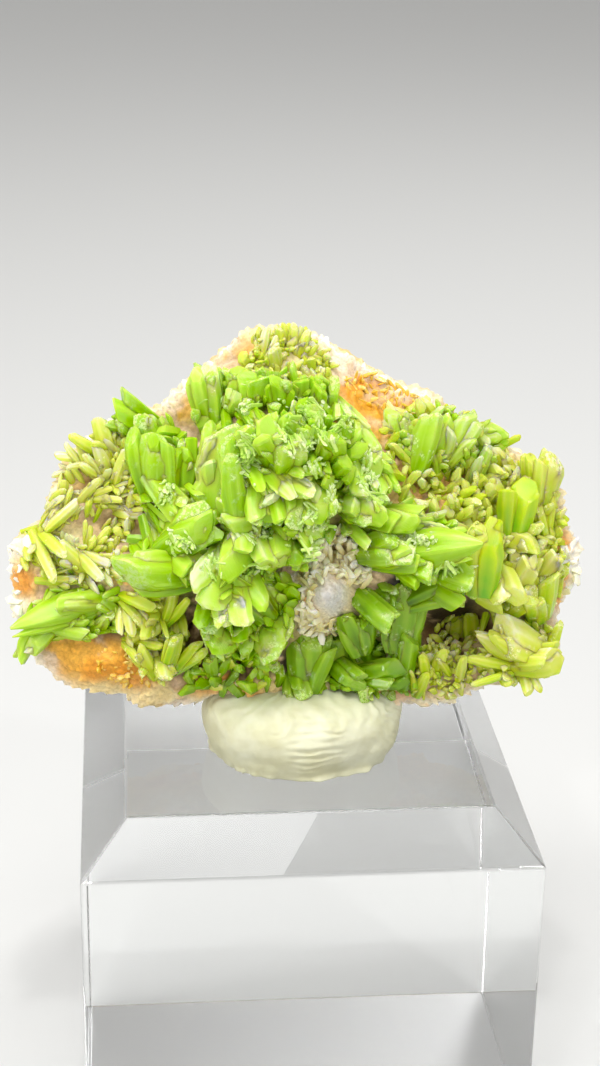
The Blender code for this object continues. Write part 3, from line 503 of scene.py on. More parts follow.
def prismArrays(shape, sides, foot, along, across, length, width, thick, growth, draw):
    # each crystal: its foot plus its rings. A ring is an uneven hexagon across the crystal; with eighteen
    # corners each corner is eased and each side has a middle. Its size follows the habit, the whole bends a
    # little, and the end narrows and slants. Painted highlights: corners and what faces upwards are painted
    # paler in tone, and the middles of the sides darker
    count, rings = len(foot), len(shape["rings"])
    place, size = np.array(shape["rings"]).T[:, None, :, None]
    corner = np.arange(6) / 6 * 2 * math.pi
    spread = 1 + draw.uniform(-uneven["corner"], uneven["corner"], (count, 6))
    turned = corner[None] + draw.uniform(-uneven["cornerTurn"], uneven["cornerTurn"], (count, 6))
    turned = turned + draw.choice([0.0, math.pi / 6], count)[:, None]
    ring = np.stack([np.cos(turned) * spread, np.sin(turned) * spread], axis=-1)
    cornerLight = np.zeros(6)
    if sides == 18:
        after, before = np.roll(ring, -1, 1), np.roll(ring, 1, 1)
        middle = (ring + after) * 0.5 * draw.uniform(*uneven["swell"], (count, 6, 1))
        eased = uneven["eased"]
        kept = ring * (1 - eased)
        ring = np.stack([kept + before * eased, kept + after * eased, middle], axis=2).reshape(count, 18, 2)
        cornerLight = np.tile([1.0, 1.0, -1.0], 6)
    other = np.cross(along, across)
    ending = np.clip((place - 0.9) / 0.1, 0, 1)
    cell = np.stack(np.broadcast_arrays(np.arange(count)[:, None], np.arange(rings)[None], 0), axis=-1)
    jagged = 1 + shape.get("jag", uneven["jag"]) * (2 * latticeValue(cell, 5)[..., None] - 1)
    long, wide, deep = length[:, None, None], width[:, None, None], thick[:, None, None]
    one = (count, 1, 1)
    narrowU, narrowV = uneven["narrowing"]
    u = ring[:, None, :, 0] * size * jagged * (1 - ending * draw.uniform(0.0, narrowU, one))
    v = ring[:, None, :, 1] * size * (1 - ending * draw.uniform(0.0, narrowV, one))
    slantWay = draw.uniform(0, 6.28, one)
    slanting = np.clip((place - 0.6) / 0.4, 0, 1)
    slant = shape["slant"] * (u * np.cos(slantWay) + v * np.sin(slantWay)) * slanting
    outward = across[:, None, None] * u[..., None] + other[:, None, None] * v[..., None]
    upward = outward[..., 2] / np.linalg.norm(outward, axis=-1)
    bendU, bendV = uneven["bend"]
    u = (u * 0.5 + draw.normal(0, bendU, one) * place**2) * wide
    v = (v * 0.5 + draw.normal(0, bendV, one) * place**2) * deep
    points = foot[:, None, None] + along[:, None, None] * (place * long + slant * wide)[..., None]
    points = points + across[:, None, None] * u[..., None] + other[:, None, None] * v[..., None]
    grown = np.broadcast_to(growth[:, None, None, :], (count, rings, sides, 4)).copy()
    grown[..., 1] = place
    # painted highlight in the tone: paler at the corners, darker at the middles of the sides, paler where the
    # surface faces upwards
    grown[..., 0] += uneven["paintedCornerLight"] * cornerLight + uneven["paintedTopLight"] * upward
    quads = ringFaces(rings, sides)
    step = (np.arange(count) * rings * sides)[:, None, None]
    walls = (quads[None] + step).reshape(-1, 4)
    base = (np.arange(sides)[::-1][None] + step[:, 0]).reshape(-1, sides)
    top = (np.arange(sides)[None] + (rings - 1) * sides + step[:, 0]).reshape(-1, sides)
    side = quads[:, :1] % sides + np.array((0, 1, 1, 0))
    about = (side / sides)[None] * uneven["strokes"] * wide
    run = place.ravel()[quads // sides][None] * long
    drift = draw.uniform(0, 40, one)
    strokes = np.stack([about + drift, run + drift], axis=-1).reshape(-1, 2)
    capTurn = np.linspace(0, 2 * math.pi, sides, endpoint=False)
    cap = np.stack([np.cos(capTurn), np.sin(capTurn)], axis=-1)[None] * 0.5 * wide + drift
    capStrokes = np.concatenate([cap[:, ::-1].reshape(-1, 2), cap.reshape(-1, 2)])
    return points.reshape(-1, 3), walls, base, top, grown.reshape(-1, 4), strokes, capStrokes


def joined(parts):
    # several sets of crystals as one: corner numbers move on by the points before them
    points, walls, caps, growth, wallStrokes, capStrokes, start = [], [], {}, [], [], {}, 0
    for p, w, base, top, g, s, c in parts:
        points.append(p)
        walls.append(w + start)
        growth.append(g)
        wallStrokes.append(s)
        sides = base.shape[1]
        caps.setdefault(sides, []).append(np.concatenate([base, top]) + start)
        capStrokes.setdefault(sides, []).append(c)
        start += len(p)
    faces = [np.concatenate(walls)]
    strokes = [np.concatenate(wallStrokes)]
    for sides in caps:
        faces.append(np.concatenate(caps[sides]))
        strokes.append(np.concatenate(capStrokes[sides]))
    return np.concatenate(points), faces, np.concatenate(growth), np.concatenate(strokes)


def largeCrystals(large, tone, draw):
    # each listed crystal as a main prism with smaller ones grown parallel beside it, each a little shorter
    parts = []
    for habit, shape in habits.items():
        if habit not in large:
            continue
        rows = [(*row, 0.0)[:7] for row in large[habit]]
        x, z, turn, lean, length, width, paler = np.array(rows, float).T
        count = len(x)
        width = width * seat["stout"]
        thick = width * shape["flat"]
        sine = np.sin(np.radians(lean))
        rise = 0.5 * length * sine + 0.35 * thick - seat["sunk"]
        middle = inSight(x, z, frontDepth(x, z) + 0.3 + rise)
        along, across = directions(turn, lean)
        across = turnedBy(across, along, draw.uniform(-seat["turned"], seat["turned"], count))
        root = seat["root"] * sine
        foot = middle - along * (0.5 * length + root)[:, None]
        whole = length + root
        growth = growthOf(tone + paler + draw.normal(0, seat["tone"], count), draw.uniform(0, 1, count))
        mainLength = whole * draw.uniform(*seat["length"], count)
        parts.append(prismArrays(shape, 18, foot, along, across, mainLength, width * shape["main"],
                                 thick * shape["main"], growth, draw))
        other = np.cross(along, across)
        for n in range(shape["beside"]):
            offset = 2 * (n + 0.5) / shape["beside"] - 1
            offset = offset * draw.choice([-1, 1]) + draw.uniform(-0.3, 0.3, count)
            offU = offset * 0.5 * width * 0.62
            offV = draw.uniform(-0.2, 0.6, count) * 0.6 * thick
            start = foot + across * offU[:, None] + other * offV[:, None]
            scale = draw.uniform(*shape["share"], count)
            leaning = np.tan(np.radians(shape["splay"] * offset))[:, None]
            aside = np.tan(np.radians(draw.normal(0, 0.6 * shape["splay"], count)))[:, None]
            tilted = unit(along + across * leaning + other * aside)
            level = unit(across - tilted * np.sum(across * tilted, axis=-1, keepdims=True))
            grown = growth.copy()
            grown[:, 0] += draw.normal(0, seat["tone"], count)
            grown[:, 2] = draw.uniform(0, 1, count)
            lower = whole * draw.uniform(*seat["besideLength"], count)
            thin = np.maximum(thick * scale * draw.uniform(0.8, 1.2, count), 0.3)
            narrow = width * scale
            parts.append(prismArrays(shape, 18, start, tilted, level, lower, narrow, thin, grown, draw))
    return parts


# Places without small crystals: x, z, reach x, reach z
bare = [(-0.5, 51.8, 0.8, 0.5), (-14.6, 40.2, 1.5, 1.2), (-12.9, 41.0, 0.9, 0.6), (-14.6, 43.4, 0.9, 0.6),
        (-18.0, 36.9, 0.9, 0.8)]


def inside(polygon, x, z):
    # whether each point has an odd number of the polygon's sides above it
    odd = np.zeros(x.shape, bool)
    for (x0, z0), (x1, z1) in zip(polygon, polygon[1:] + polygon[:1]):
        if x0 == x1:
            continue
        crosses = (x0 > x) != (x1 > x)
        odd ^= crosses & (z < z0 + (z1 - z0) * (x - x0) / (x1 - x0))
    return odd


def scattered(polygon, count, apart, draw):
    # up to count places in the polygon, each at least apart from those before it
    low, high = np.min(polygon, axis=0), np.max(polygon, axis=0)
    spots = draw.uniform(low, high, (count * 12, 2))
    spots = spots[inside(polygon, spots[:, 0], spots[:, 1])]
    for midX, midZ, reachX, reachZ in bare:
        spots = spots[np.hypot((spots[:, 0] - midX) / reachX, (spots[:, 1] - midZ) / reachZ) > 1]
    kept = np.empty((0, 2))
    for spot in spots:
        if len(kept) >= count:
            break
        if not len(kept) or np.min(np.hypot(*(kept - spot).T)) > apart:
            kept = np.vstack([kept, spot])
    return kept[:, 0], kept[:, 1]


def smallCrystals(field, draw, guides=None):
    # small crystals over a field, standing in the rock with some scatter; with guides, each follows the
    # direction of the nearest large crystal
    habit, count, apart, length, width, tone, above, turn, lean, scatter, ground = field
    x, z = scattered(ground, count, apart, draw)
    count = len(x)
    turn, lean = np.full(count, float(turn)), np.full(count, float(lean))
    if guides is not None:
        far = np.hypot(x[:, None] - guides[None, :, 0], z[:, None] - guides[None, :, 1])
        nearest = guides[np.argmin(far, axis=1)]
        turn, lean = nearest[:, 2], nearest[:, 3] * 0.5 + lean * 0.5
    turn = turn + draw.normal(0, scatter, count)
    lean = np.clip(lean + draw.normal(0, 16, count), 5, 85)
    length, width = draw.uniform(*length, count), draw.uniform(*width, count)
    shape = smallHabits[habit]
    thick = width * shape["flat"] * draw.uniform(0.8, 1.1, count)
    along, across = directions(turn, lean)
    across = turnedBy(across, along, draw.uniform(0, 180, count))
    rise = frontDepth(x, z) + above + 0.3 * length * np.sin(np.radians(lean))
    foot = inSight(x, z, rise) - along * (0.5 * length)[:, None]
    growth = growthOf(tone + draw.normal(0, 0.2, count), draw.uniform(0, 1, count))
    return prismArrays(shape, 6, foot, along, across, length, width, thick, growth, draw)


# Each cluster has an outline of the ground it covers, and its large crystals by habit: x, z, turn from
# upright, lean towards the eye, length, width, and for some how much paler than the rest. What fills the
# ground is given as habit, how many, how far apart, length and width ranges, tone (0 deep, 1 pale) and how
# far above the rock they stand; further fields in the same way, then turn, lean, scatter and their outline
clusters = {
    "domeCrystals": {
        "node": "dome_crystals",
        "slot": "lime_crystal",
        "ground": [(-6.8, 50.6), (-3.6, 51.0), (0.8, 50.4), (2.9, 48.7), (4.9, 45.8), (6.2, 42.6),
            (5.2, 40.6), (3.6, 39.6), (1.4, 39.2), (0.0, 37.6), (-2.6, 37.2), (-5.2, 37.8), (-5.4, 40.8),
            (-6.4, 42.6), (-6.6, 46.6), (-7.0, 48.6)],
        "large": {
            "prism": [(-6.1, 49.3, -8, 30, 4.0, 2.1), (-1.2, 49.3, -6, 50, 2.8, 1.5),
                (0.0, 49.5, 6, 45, 2.6, 1.3), (1.1, 49.1, 16, 45, 2.6, 1.5), (0.7, 47.5, 8, 55, 2.6, 1.7),
                (4.1, 45.8, 150, 20, 4.2, 1.6), (0.8, 44.4, 170, 50, 2.2, 1.5),
                (-2.9, 41.9, 176, 30, 3.2, 1.6), (-1.5, 41.8, 172, 35, 3.0, 1.6),
                (-0.2, 41.4, 168, 40, 2.8, 1.6), (1.3, 42.2, 166, 38, 3.2, 1.8),
                (3.8, 43.6, 155, 30, 3.4, 1.4), (5.0, 43.5, 150, 22, 3.6, 1.4)],
            "block": [(-4.3, 49.8, -5, 45, 3.0, 1.8), (-2.8, 49.7, 4, 40, 3.2, 1.9),
                (-2.2, 46.3, -10, 55, 3.0, 2.1), (-1.1, 45.2, 20, 60, 2.6, 1.8),
                (0.3, 46.0, -15, 65, 2.6, 1.8), (2.2, 45.7, 30, 60, 3.0, 2.4),
                (4.2, 41.0, 120, 50, 2.8, 2.2), (-3.9, 40.2, -100, 45, 2.6, 1.9),
                (-4.0, 38.5, 178, 55, 3.2, 2.8), (0.3, 39.9, -150, 50, 2.6, 2.0),
                (-1.4, 38.4, 170, 58, 2.8, 2.4)],
            "blade": [(-5.5, 44.4, 6, 12, 6.0, 2.7), (-4.0, 43.4, -5, 16, 5.8, 2.4),
                (3.1, 47.5, 140, 25, 3.4, 1.3), (-1.7, 43.5, 142, 35, 3.6, 1.6),
                (-0.5, 43.5, 130, 38, 3.8, 1.6)],
            "spear": [(-3.1, 47.6, 150, 30, 2.8, 1.1)],
        },
        "fill": ("grain", 190, 0.5, (1.2, 3.0), (0.6, 1.3), 0.5, 0.05),
    },
    "shoulderCrystals": {
        "node": "shoulder_crystals",
        "slot": "lime_crystal",
        "ground": [(6.6, 41.6), (8.6, 40.6), (10.6, 39.9), (12.4, 39.0), (12.2, 35.0), (10.4, 35.0),
            (9.0, 36.3), (6.4, 37.2), (4.9, 37.6), (4.8, 39.4), (5.6, 40.5)],
        "large": {
            "prism": [(8.0, 37.1, 122, 40, 3.2, 1.9)],
            "block": [(6.3, 40.2, 100, 40, 3.0, 2.2), (6.1, 38.2, 80, 50, 2.8, 2.3),
                (10.8, 35.9, 112, 38, 3.2, 2.4)],
            "blade": [(8.7, 39.7, 85, 30, 3.2, 1.4), (7.7, 40.9, 150, 30, 2.4, 1.1)],
            "spear": [(9.9, 38.3, 82, 20, 5.4, 3.0)],
        },
        "fill": ("grain", 60, 0.5, (1.0, 2.5), (0.5, 1.2), 0.5, -0.05),
    },
    "skirtCrystals": {
        "node": "skirt_crystals",
        "slot": "lime_crystal",
        "ground": [(-6.8, 37.2), (-2.6, 36.8), (-0.4, 36.0), (-0.5, 32.4), (-2.2, 30.8), (-5.2, 30.6),
            (-6.4, 31.8), (-6.2, 34.4)],
        "large": {
            "blade": [(-5.6, 36.0, -150, 35, 4.2, 2.8), (-4.3, 34.9, 155, 30, 4.2, 2.4),
                (-5.9, 33.8, -170, 38, 2.8, 2.2), (-5.3, 32.4, 172, 35, 2.8, 2.3),
                (-3.7, 32.0, 176, 30, 2.4, 1.4), (-3.1, 35.2, -40, 40, 3.6, 1.6),
                (-1.8, 32.3, 162, 38, 3.8, 2.7), (-1.6, 34.7, -20, 42, 3.0, 1.6),
                (-2.7, 30.4, 120, 30, 2.2, 1.4)],
        },
        "fill": ("leaf", 130, 0.42, (1.2, 2.6), (0.8, 1.6), 0.36, 0.35),
        "fields": [
            ("grain", 38, 0.7, (0.9, 2.0), (0.6, 1.3), 0.12, -0.25, 10, 45, 60, [(-8.0, 31.0), (-5.0, 31.2),
             (-1.6, 30.6), (-0.8, 28.4), (-4.2, 27.8), (-7.6, 28.2)]),
        ],
    },
    "cheekCrystals": {
        "node": "cheek_crystals",
        "slot": "lime_crystal",
        "ground": [(-11.6, 47.9), (-9.0, 48.0), (-7.4, 46.2), (-7.0, 42.6), (-5.8, 40.6), (-6.2, 37.4),
            (-8.0, 36.2), (-10.8, 35.8), (-11.6, 38.0), (-10.0, 40.8), (-10.9, 43.6)],
        "large": {
            "prism": [(-8.6, 44.6, 4, 25, 3.0, 1.5), (-10.2, 46.9, -20, 45, 2.4, 1.6),
                (-7.5, 45.0, 2, 12, 3.0, 1.3), (-8.8, 41.7, 142, 16, 4.4, 1.5),
                (-9.9, 39.3, 160, 15, 2.8, 1.1), (-6.3, 40.0, 20, 35, 2.6, 1.5)],
            "block": [(-9.8, 45.0, -4, 30, 3.4, 2.2), (-11.2, 47.8, -70, 25, 2.6, 1.6),
                (-7.6, 39.5, 60, 42, 3.6, 2.7), (-9.9, 36.9, -92, 28, 4.4, 2.8),
                (-7.5, 37.5, 130, 35, 3.0, 2.2)],
        },
        "fill": ("grain", 100, 0.5, (1.0, 2.4), (0.5, 1.1), 0.42, -0.05),
    },
    "leftWingCrystals": {
        "node": "left_wing_crystals",
        "slot": "pale_crystal",
        "ground": [(-16.6, 42.0), (-15.4, 44.6), (-13.4, 47.0), (-11.8, 47.2), (-11.4, 44.4), (-10.6, 41.4),
            (-12.0, 38.2), (-12.2, 36.2), (-17.6, 36.2), (-18.9, 38.6), (-17.2, 39.6)],
        "large": {
            "rice": [(-15.2, 45.3, -86, 12, 2.6, 0.9), (-14.4, 45.6, -20, 20, 2.2, 1.2),
                (-13.2, 46.9, -25, 22, 2.4, 1.6), (-13.2, 45.3, -10, 40, 2.2, 1.4),
                (-11.9, 44.8, 20, 40, 2.2, 1.3), (-14.2, 42.9, 40, 20, 2.6, 0.9),
                (-12.8, 42.3, 88, 20, 2.4, 0.9), (-15.7, 41.3, 48, 15, 2.8, 1.2),
                (-17.1, 38.0, 150, 24, 3.6, 1.3), (-16.1, 36.5, 88, 14, 3.0, 1.0),
                (-15.4, 38.3, -40, 30, 2.8, 1.5), (-13.9, 37.2, 130, 32, 2.6, 1.4),
                (-13.4, 39.4, 35, 22, 2.2, 0.9)],
        },
        "fill": ("needle", 130, 0.44, (1.0, 2.3), (0.4, 0.75), 0.8, -0.15),
        "fields": [
            ("needle", 70, 0.6, (1.2, 2.6), (0.35, 0.6), 0.82, -0.25, 60, 22, 60, [(-17.2, 41.6),
             (-16.0, 43.6), (-12.6, 42.8), (-11.2, 41.8), (-11.6, 38.0), (-12.4, 36.4), (-17.6, 36.4),
             (-18.4, 38.6)]),
            ("grain", 60, 0.45, (0.6, 1.4), (0.4, 0.8), 0.7, -0.25, -10, 45, 40, [(-13.2, 47.0),
             (-10.8, 47.6), (-11.0, 43.0), (-12.4, 43.6), (-14.6, 44.6)]),
        ],
    },
    "leftSpearCrystals": {
        "node": "left_spear_crystals",
        "slot": "lime_crystal",
        "ground": [(-12.4, 35.8), (-17.4, 35.6), (-18.6, 34.0), (-18.4, 32.0), (-14.6, 32.2), (-12.3, 32.4)],
        "large": {
            "prism": [(-14.6, 34.9, -95, 22, 3.8, 1.5), (-16.0, 32.8, 100, 18, 3.4, 1.1),
                (-18.7, 31.9, -150, 16, 2.6, 1.2), (-17.5, 32.3, -140, 18, 2.6, 1.4),
                (-15.3, 33.9, 168, 30, 2.0, 1.0), (-13.5, 33.5, 45, 35, 1.8, 0.9),
                (-12.9, 34.4, -50, 35, 1.8, 0.9)],
            "spear": [(-16.4, 34.2, -105, 10, 7.8, 2.2)],
        },
        "fill": ("needle", 90, 0.4, (0.8, 2.0), (0.35, 0.7), 0.42, -0.05),
    },
    "leftFootCrystals": {
        "node": "left_foot_crystals",
        "slot": "pale_crystal",
        "ground": [(-11.8, 35.2), (-8.4, 35.3), (-7.9, 33.0), (-7.9, 31.0), (-8.6, 29.2), (-10.4, 29.2),
            (-11.1, 31.0), (-11.9, 32.6)],
        "large": {
            "blade": [(-8.5, 33.0, 172, 20, 2.2, 1.2)],
            "rice": [(-10.7, 34.6, 108, 32, 2.2, 1.3), (-11.6, 33.4, 165, 25, 2.4, 1.1),
                (-10.4, 33.0, -170, 28, 2.2, 1.2), (-8.6, 34.6, 25, 32, 2.2, 1.3),
                (-10.5, 31.7, 100, 25, 2.6, 1.2)],
            "bunch": [(-8.6, 31.2, 20, 32, 2.8, 1.7), (-10.6, 30.4, -30, 40, 2.0, 1.3),
                (-9.3, 29.5, 160, 50, 2.2, 1.5)],
        },
        "fill": ("grain", 70, 0.42, (0.7, 1.5), (0.4, 0.8), 0.5, -0.15),
        "fields": [
            ("grain", 20, 0.8, (0.6, 1.5), (0.4, 0.8), 0.6, -0.25, 30, 45, 60, [(-8.4, 30.4), (-7.2, 31.4),
             (-5.0, 30.6), (-1.6, 30.2), (-0.8, 28.4), (-4.2, 28.0), (-7.6, 28.2)]),
        ],
    },
    "rightWingCrystals": {
        "node": "right_wing_crystals",
        "slot": "lime_crystal",
        "ground": [(6.6, 47.4), (9.6, 48.2), (12.2, 46.8), (13.0, 45.8), (12.2, 44.6), (9.4, 44.2),
            (6.8, 45.0)],
        "large": {
            "blade": [(12.2, 46.3, 72, 20, 3.0, 1.7)],
            "rice": [(11.2, 47.3, 30, 18, 1.8, 1.0), (7.0, 47.0, -18, 35, 2.0, 1.3),
                (12.3, 44.6, 20, 35, 2.2, 1.4)],
            "bunch": [(8.3, 46.2, 14, 28, 3.6, 2.6), (10.4, 46.3, 24, 26, 3.2, 2.1)],
        },
        "fill": ("needle", 150, 0.36, (1.0, 2.2), (0.4, 0.85), 0.85, 0.15),
    },
    "rightEdgeCrystals": {
        "node": "right_edge_crystals",
        "slot": "pale_crystal",
        "ground": [(14.0, 44.4), (16.9, 43.9), (17.6, 41.0), (17.9, 38.4), (18.5, 36.2), (17.8, 33.6),
            (13.4, 33.6), (12.6, 34.8), (12.8, 39.4), (13.9, 40.6)],
        "large": {
            "block": [(16.8, 43.4, 8, 22, 2.8, 1.9, -0.3), (14.9, 40.9, 3, 26, 3.8, 2.0, -0.45),
                (15.2, 38.8, 98, 45, 2.6, 2.0, -0.3), (13.1, 37.6, 4, 30, 4.2, 2.4, -0.3),
                (13.4, 35.4, 160, 35, 3.4, 2.4, -0.3), (15.5, 36.6, 10, 50, 2.6, 1.8),
                (17.3, 36.9, 30, 45, 2.6, 1.7), (16.9, 34.7, -10, 50, 2.6, 1.9),
                (15.2, 34.2, 35, 45, 2.4, 1.8)],
            "rice": [(15.3, 44.1, -8, 25, 2.4, 1.3), (16.3, 41.1, -18, 20, 3.2, 1.3),
                (13.9, 33.1, 174, 30, 2.6, 1.2)],
        },
        "fill": ("grain", 190, 0.4, (0.7, 1.8), (0.4, 0.85), 0.6, 0.05),
        "fields": [
            ("grain", 190, 0.5, (1.1, 2.8), (0.45, 0.95), 0.66, -0.25, 10, 35, 50, [(5.4, 47.2), (7.2, 48.6),
             (9.6, 48.0), (13.6, 45.6), (14.4, 43.6), (13.0, 40.0), (9.0, 40.6), (6.4, 42.4)]),
            ("grain", 120, 0.5, (1.1, 2.8), (0.4, 0.9), 0.7, -0.25, -5, 38, 50, [(10.4, 40.8), (13.0, 44.8),
             (16.8, 43.6), (17.6, 41.0), (17.6, 37.6), (13.6, 36.6), (11.2, 38.4)]),
        ],
    },
    "rightFootCrystals": {
        "node": "right_foot_crystals",
        "slot": "pale_crystal",
        "ground": [(13.0, 30.0), (14.6, 31.8), (16.8, 32.6), (18.0, 31.4), (17.8, 29.0), (16.4, 28.0),
            (13.8, 28.4)],
        "large": {
            "block": [(15.6, 31.4, -58, 38, 3.4, 2.2, 0.25), (16.8, 29.5, 82, 30, 3.2, 2.1, 0.2)],
            "spear": [(14.2, 30.7, -65, 24, 4.2, 2.0, 0.2)],
            "rice": [(13.5, 29.4, -82, 20, 3.2, 1.4), (16.2, 28.1, 168, 32, 2.4, 1.5),
                (14.6, 28.4, 162, 30, 2.2, 1.4), (18.1, 31.3, 20, 22, 2.4, 1.3)],
        },
        "fill": ("grain", 80, 0.4, (0.7, 1.8), (0.4, 0.9), 0.6, 0.15),
    },
    "cavityCrystals": {
        "node": "cavity_crystals",
        # their finish is the lime crystal darkened: painted shade of the overhanging dome
        "slot": "deep_crystal",
        "ground": [(-0.2, 31.6), (2.4, 32.2), (4.4, 33.6), (5.2, 35.6), (8.6, 35.8), (8.8, 33.4),
            (8.2, 29.2), (5.6, 28.2), (2.6, 27.8), (-0.4, 28.0)],
        "large": {
            "prism": [(2.0, 30.0, 0, 16, 3.6, 1.6), (2.9, 30.3, -4, 30, 3.0, 1.5),
                (3.4, 28.9, 130, 38, 2.6, 1.4), (5.1, 33.6, 136, 28, 3.8, 1.6),
                (7.0, 31.0, -45, 35, 2.0, 1.2), (7.7, 30.0, 4, 26, 3.4, 1.3),
                (4.6, 27.9, 170, 40, 1.8, 1.2)],
            "block": [(0.5, 30.1, 4, 14, 3.8, 2.2), (0.1, 28.0, 170, 30, 2.0, 1.5),
                (3.8, 32.3, -20, 35, 2.6, 1.6), (5.9, 28.9, 82, 30, 2.8, 1.8),
                (8.9, 35.1, 60, 25, 2.4, 1.6)],
            "blade": [(4.1, 29.8, 150, 34, 3.2, 1.3), (4.9, 31.3, -14, 12, 4.6, 1.6),
                (7.3, 33.1, 5, 18, 4.2, 1.9)],
        },
        "fill": ("grain", 130, 0.42, (0.8, 2.0), (0.5, 0.9), 0.4, -0.15),
        "fields": [
            ("grain", 60, 0.5, (0.6, 1.3), (0.4, 0.8), 0.5, -0.25, 175, 40, 40, [(-0.8, 28.8), (4.0, 28.6),
             (8.6, 29.2), (8.4, 27.4), (4.6, 27.0), (-0.4, 27.5)]),
        ],
    },
    "caveCrystals": {
        "node": "cave_crystals",
        "slot": "pale_crystal",
        "ground": [(8.6, 30.6), (10.2, 33.0), (12.6, 33.2), (12.8, 31.0), (12.2, 28.6), (8.8, 27.8)],
        "large": {
            "blade": [(10.9, 32.0, 10, 25, 2.4, 1.0)],
            "rice": [(8.9, 29.6, -10, 50, 2.0, 1.4), (10.0, 29.9, 15, 48, 2.0, 1.4),
                (11.6, 29.4, 5, 45, 2.0, 1.2), (9.0, 28.2, 20, 50, 1.8, 1.2)],
            "bunch": [(12.1, 32.2, -6, 25, 2.4, 1.5)],
        },
        "fill": ("grain", 60, 0.42, (0.6, 1.2), (0.4, 0.8), 0.5, -0.25),
        "fields": [
            ("grain", 110, 0.42, (0.5, 1.2), (0.35, 0.75), 0.62, -0.25, 0, 60, 50, [(7.8, 30.4), (9.4, 30.9),
             (11.4, 30.6), (12.8, 29.8), (13.4, 28.2), (11.0, 27.0), (8.0, 27.2)]),
        ],
    },
    "apexCrystals": {
        "node": "apex_crystals",
        "slot": "pale_crystal",
        "ground": [(-3.2, 53.4), (-0.6, 53.7), (0.4, 53.0), (0.0, 51.6), (-3.4, 51.7)],
        "large": {
            "rice": [(-2.5, 53.0, 10, 24, 2.4, 1.1), (-1.5, 53.4, -4, 35, 1.8, 1.1),
                (-0.6, 53.3, 10, 32, 1.9, 1.1), (0.1, 52.9, 22, 28, 2.0, 1.0),
                (-1.9, 51.9, -10, 45, 1.8, 1.2)],
        },
        "fill": ("grain", 110, 0.34, (0.5, 1.3), (0.3, 0.7), 0.75, -0.15),
        "fields": [
            ("grain", 90, 0.36, (0.6, 1.5), (0.35, 0.8), 0.7, -0.25, 5, 50, 40, [(-3.6, 51.9), (-4.2, 50.2),
             (1.6, 49.8), (2.0, 51.4), (0.6, 53.2), (-1.6, 53.6)]),
        ],
    },
}

extras = {  # small things beside the clusters
    "frostCrumbs": {
        "slot": "pale_crystal",
        "finish": "frostCrystal",
        "seed": 99,
        "crumbs": [  # x, z, reach x, reach z, how many
            (-3.6, 45.4, 0.7, 1.6, 110), (0.3, 48.3, 1.5, 0.9, 130), (2.6, 47.8, 0.8, 0.8, 60),
            (-0.2, 46.2, 1.2, 0.7, 90), (2.0, 46.4, 0.9, 0.5, 40), (-4.0, 48.6, 1.6, 0.5, 50),
            (4.6, 43.6, 0.6, 1.6, 70), (2.4, 42.4, 0.7, 0.8, 40), (5.6, 41.9, 0.7, 0.4, 40),
            (1.0, 40.4, 1.0, 1.0, 60), (-2.6, 39.6, 1.2, 0.5, 40), (0.8, 44.2, 0.8, 0.6, 30),
            (2.0, 38.2, 1.6, 0.8, 90), (1.6, 36.8, 1.5, 0.8, 80), (8.3, 38.9, 1.0, 0.5, 50),
            (10.4, 36.6, 0.9, 0.5, 40), (-8.0, 39.0, 0.8, 0.6, 50), (-6.0, 37.4, 0.8, 0.6, 30),
            (-3.2, 36.8, 1.6, 0.6, 40), (-8.8, 42.6, 0.6, 1.2, 40),
        ],
    },
    "amberCrystals": {
        "slot": "matrix_rock",
        "finish": "amberCrystal",
        "seed": 98,
        "fields": [
            ("needle", 80, 0.3, (0.6, 1.4), (0.2, 0.42), 0.6, -0.3, 20, 30, 60, [(2.8, 50.4), (4.4, 50.7),
             (7.6, 49.3), (8.8, 48.4), (7.0, 47.8), (4.6, 48.4), (3.2, 49.4)]),
            ("grain", 40, 0.3, (0.4, 0.9), (0.3, 0.6), 0.4, -0.4, 20, 50, 60, [(-13.6, 31.2), (-10.8, 30.4),
             (-10.2, 28.4), (-12.4, 28.6), (-14.2, 29.8)]),
        ],
    },
    "creamCrystals": {
        "slot": "matrix_rock",
        "finish": "creamCrystal",
        "seed": 97,
        "fields": [
            ("grain", 170, 0.34, (0.6, 1.7), (0.3, 0.7), 0.7, 0.0, 20, 40, 70, [(-0.8, 38.4), (0.6, 39.6),
             (4.4, 39.8), (5.2, 37.6), (4.6, 35.6), (3.6, 36.0), (2.2, 36.4), (0.6, 36.0)]),
            ("grain", 120, 0.3, (0.5, 1.2), (0.3, 0.7), 0.6, -0.1, -60, 40, 70, [(-1.4, 36.6), (0.8, 36.6),
             (1.0, 35.6), (0.9, 34.0), (1.6, 33.0), (3.0, 33.2), (3.2, 32.2), (0.6, 31.8), (-0.6, 33.6)]),
            ("grain", 26, 0.5, (0.6, 1.1), (0.7, 1.3), 1.0, -0.4, 90, 30, 80, [(18.0, 38.2), (18.9, 38.0),
             (19.2, 36.0), (18.4, 34.8), (17.8, 35.0), (18.1, 36.6)]),
            ("grain", 30, 0.5, (0.5, 1.0), (0.6, 1.2), 1.0, -0.4, -90, 30, 80, [(-19.2, 38.6), (-18.2, 39.2),
             (-18.6, 37.8), (-18.8, 35.4), (-18.4, 33.6), (-18.9, 33.4), (-19.3, 35.4)]),
        ],
    },
}
splinter = {"length": (0.4, 1.3), "width": (0.16, 0.38), "flat": 0.6, "sunk": 0.06}
pieces = {**clusters, **extras}


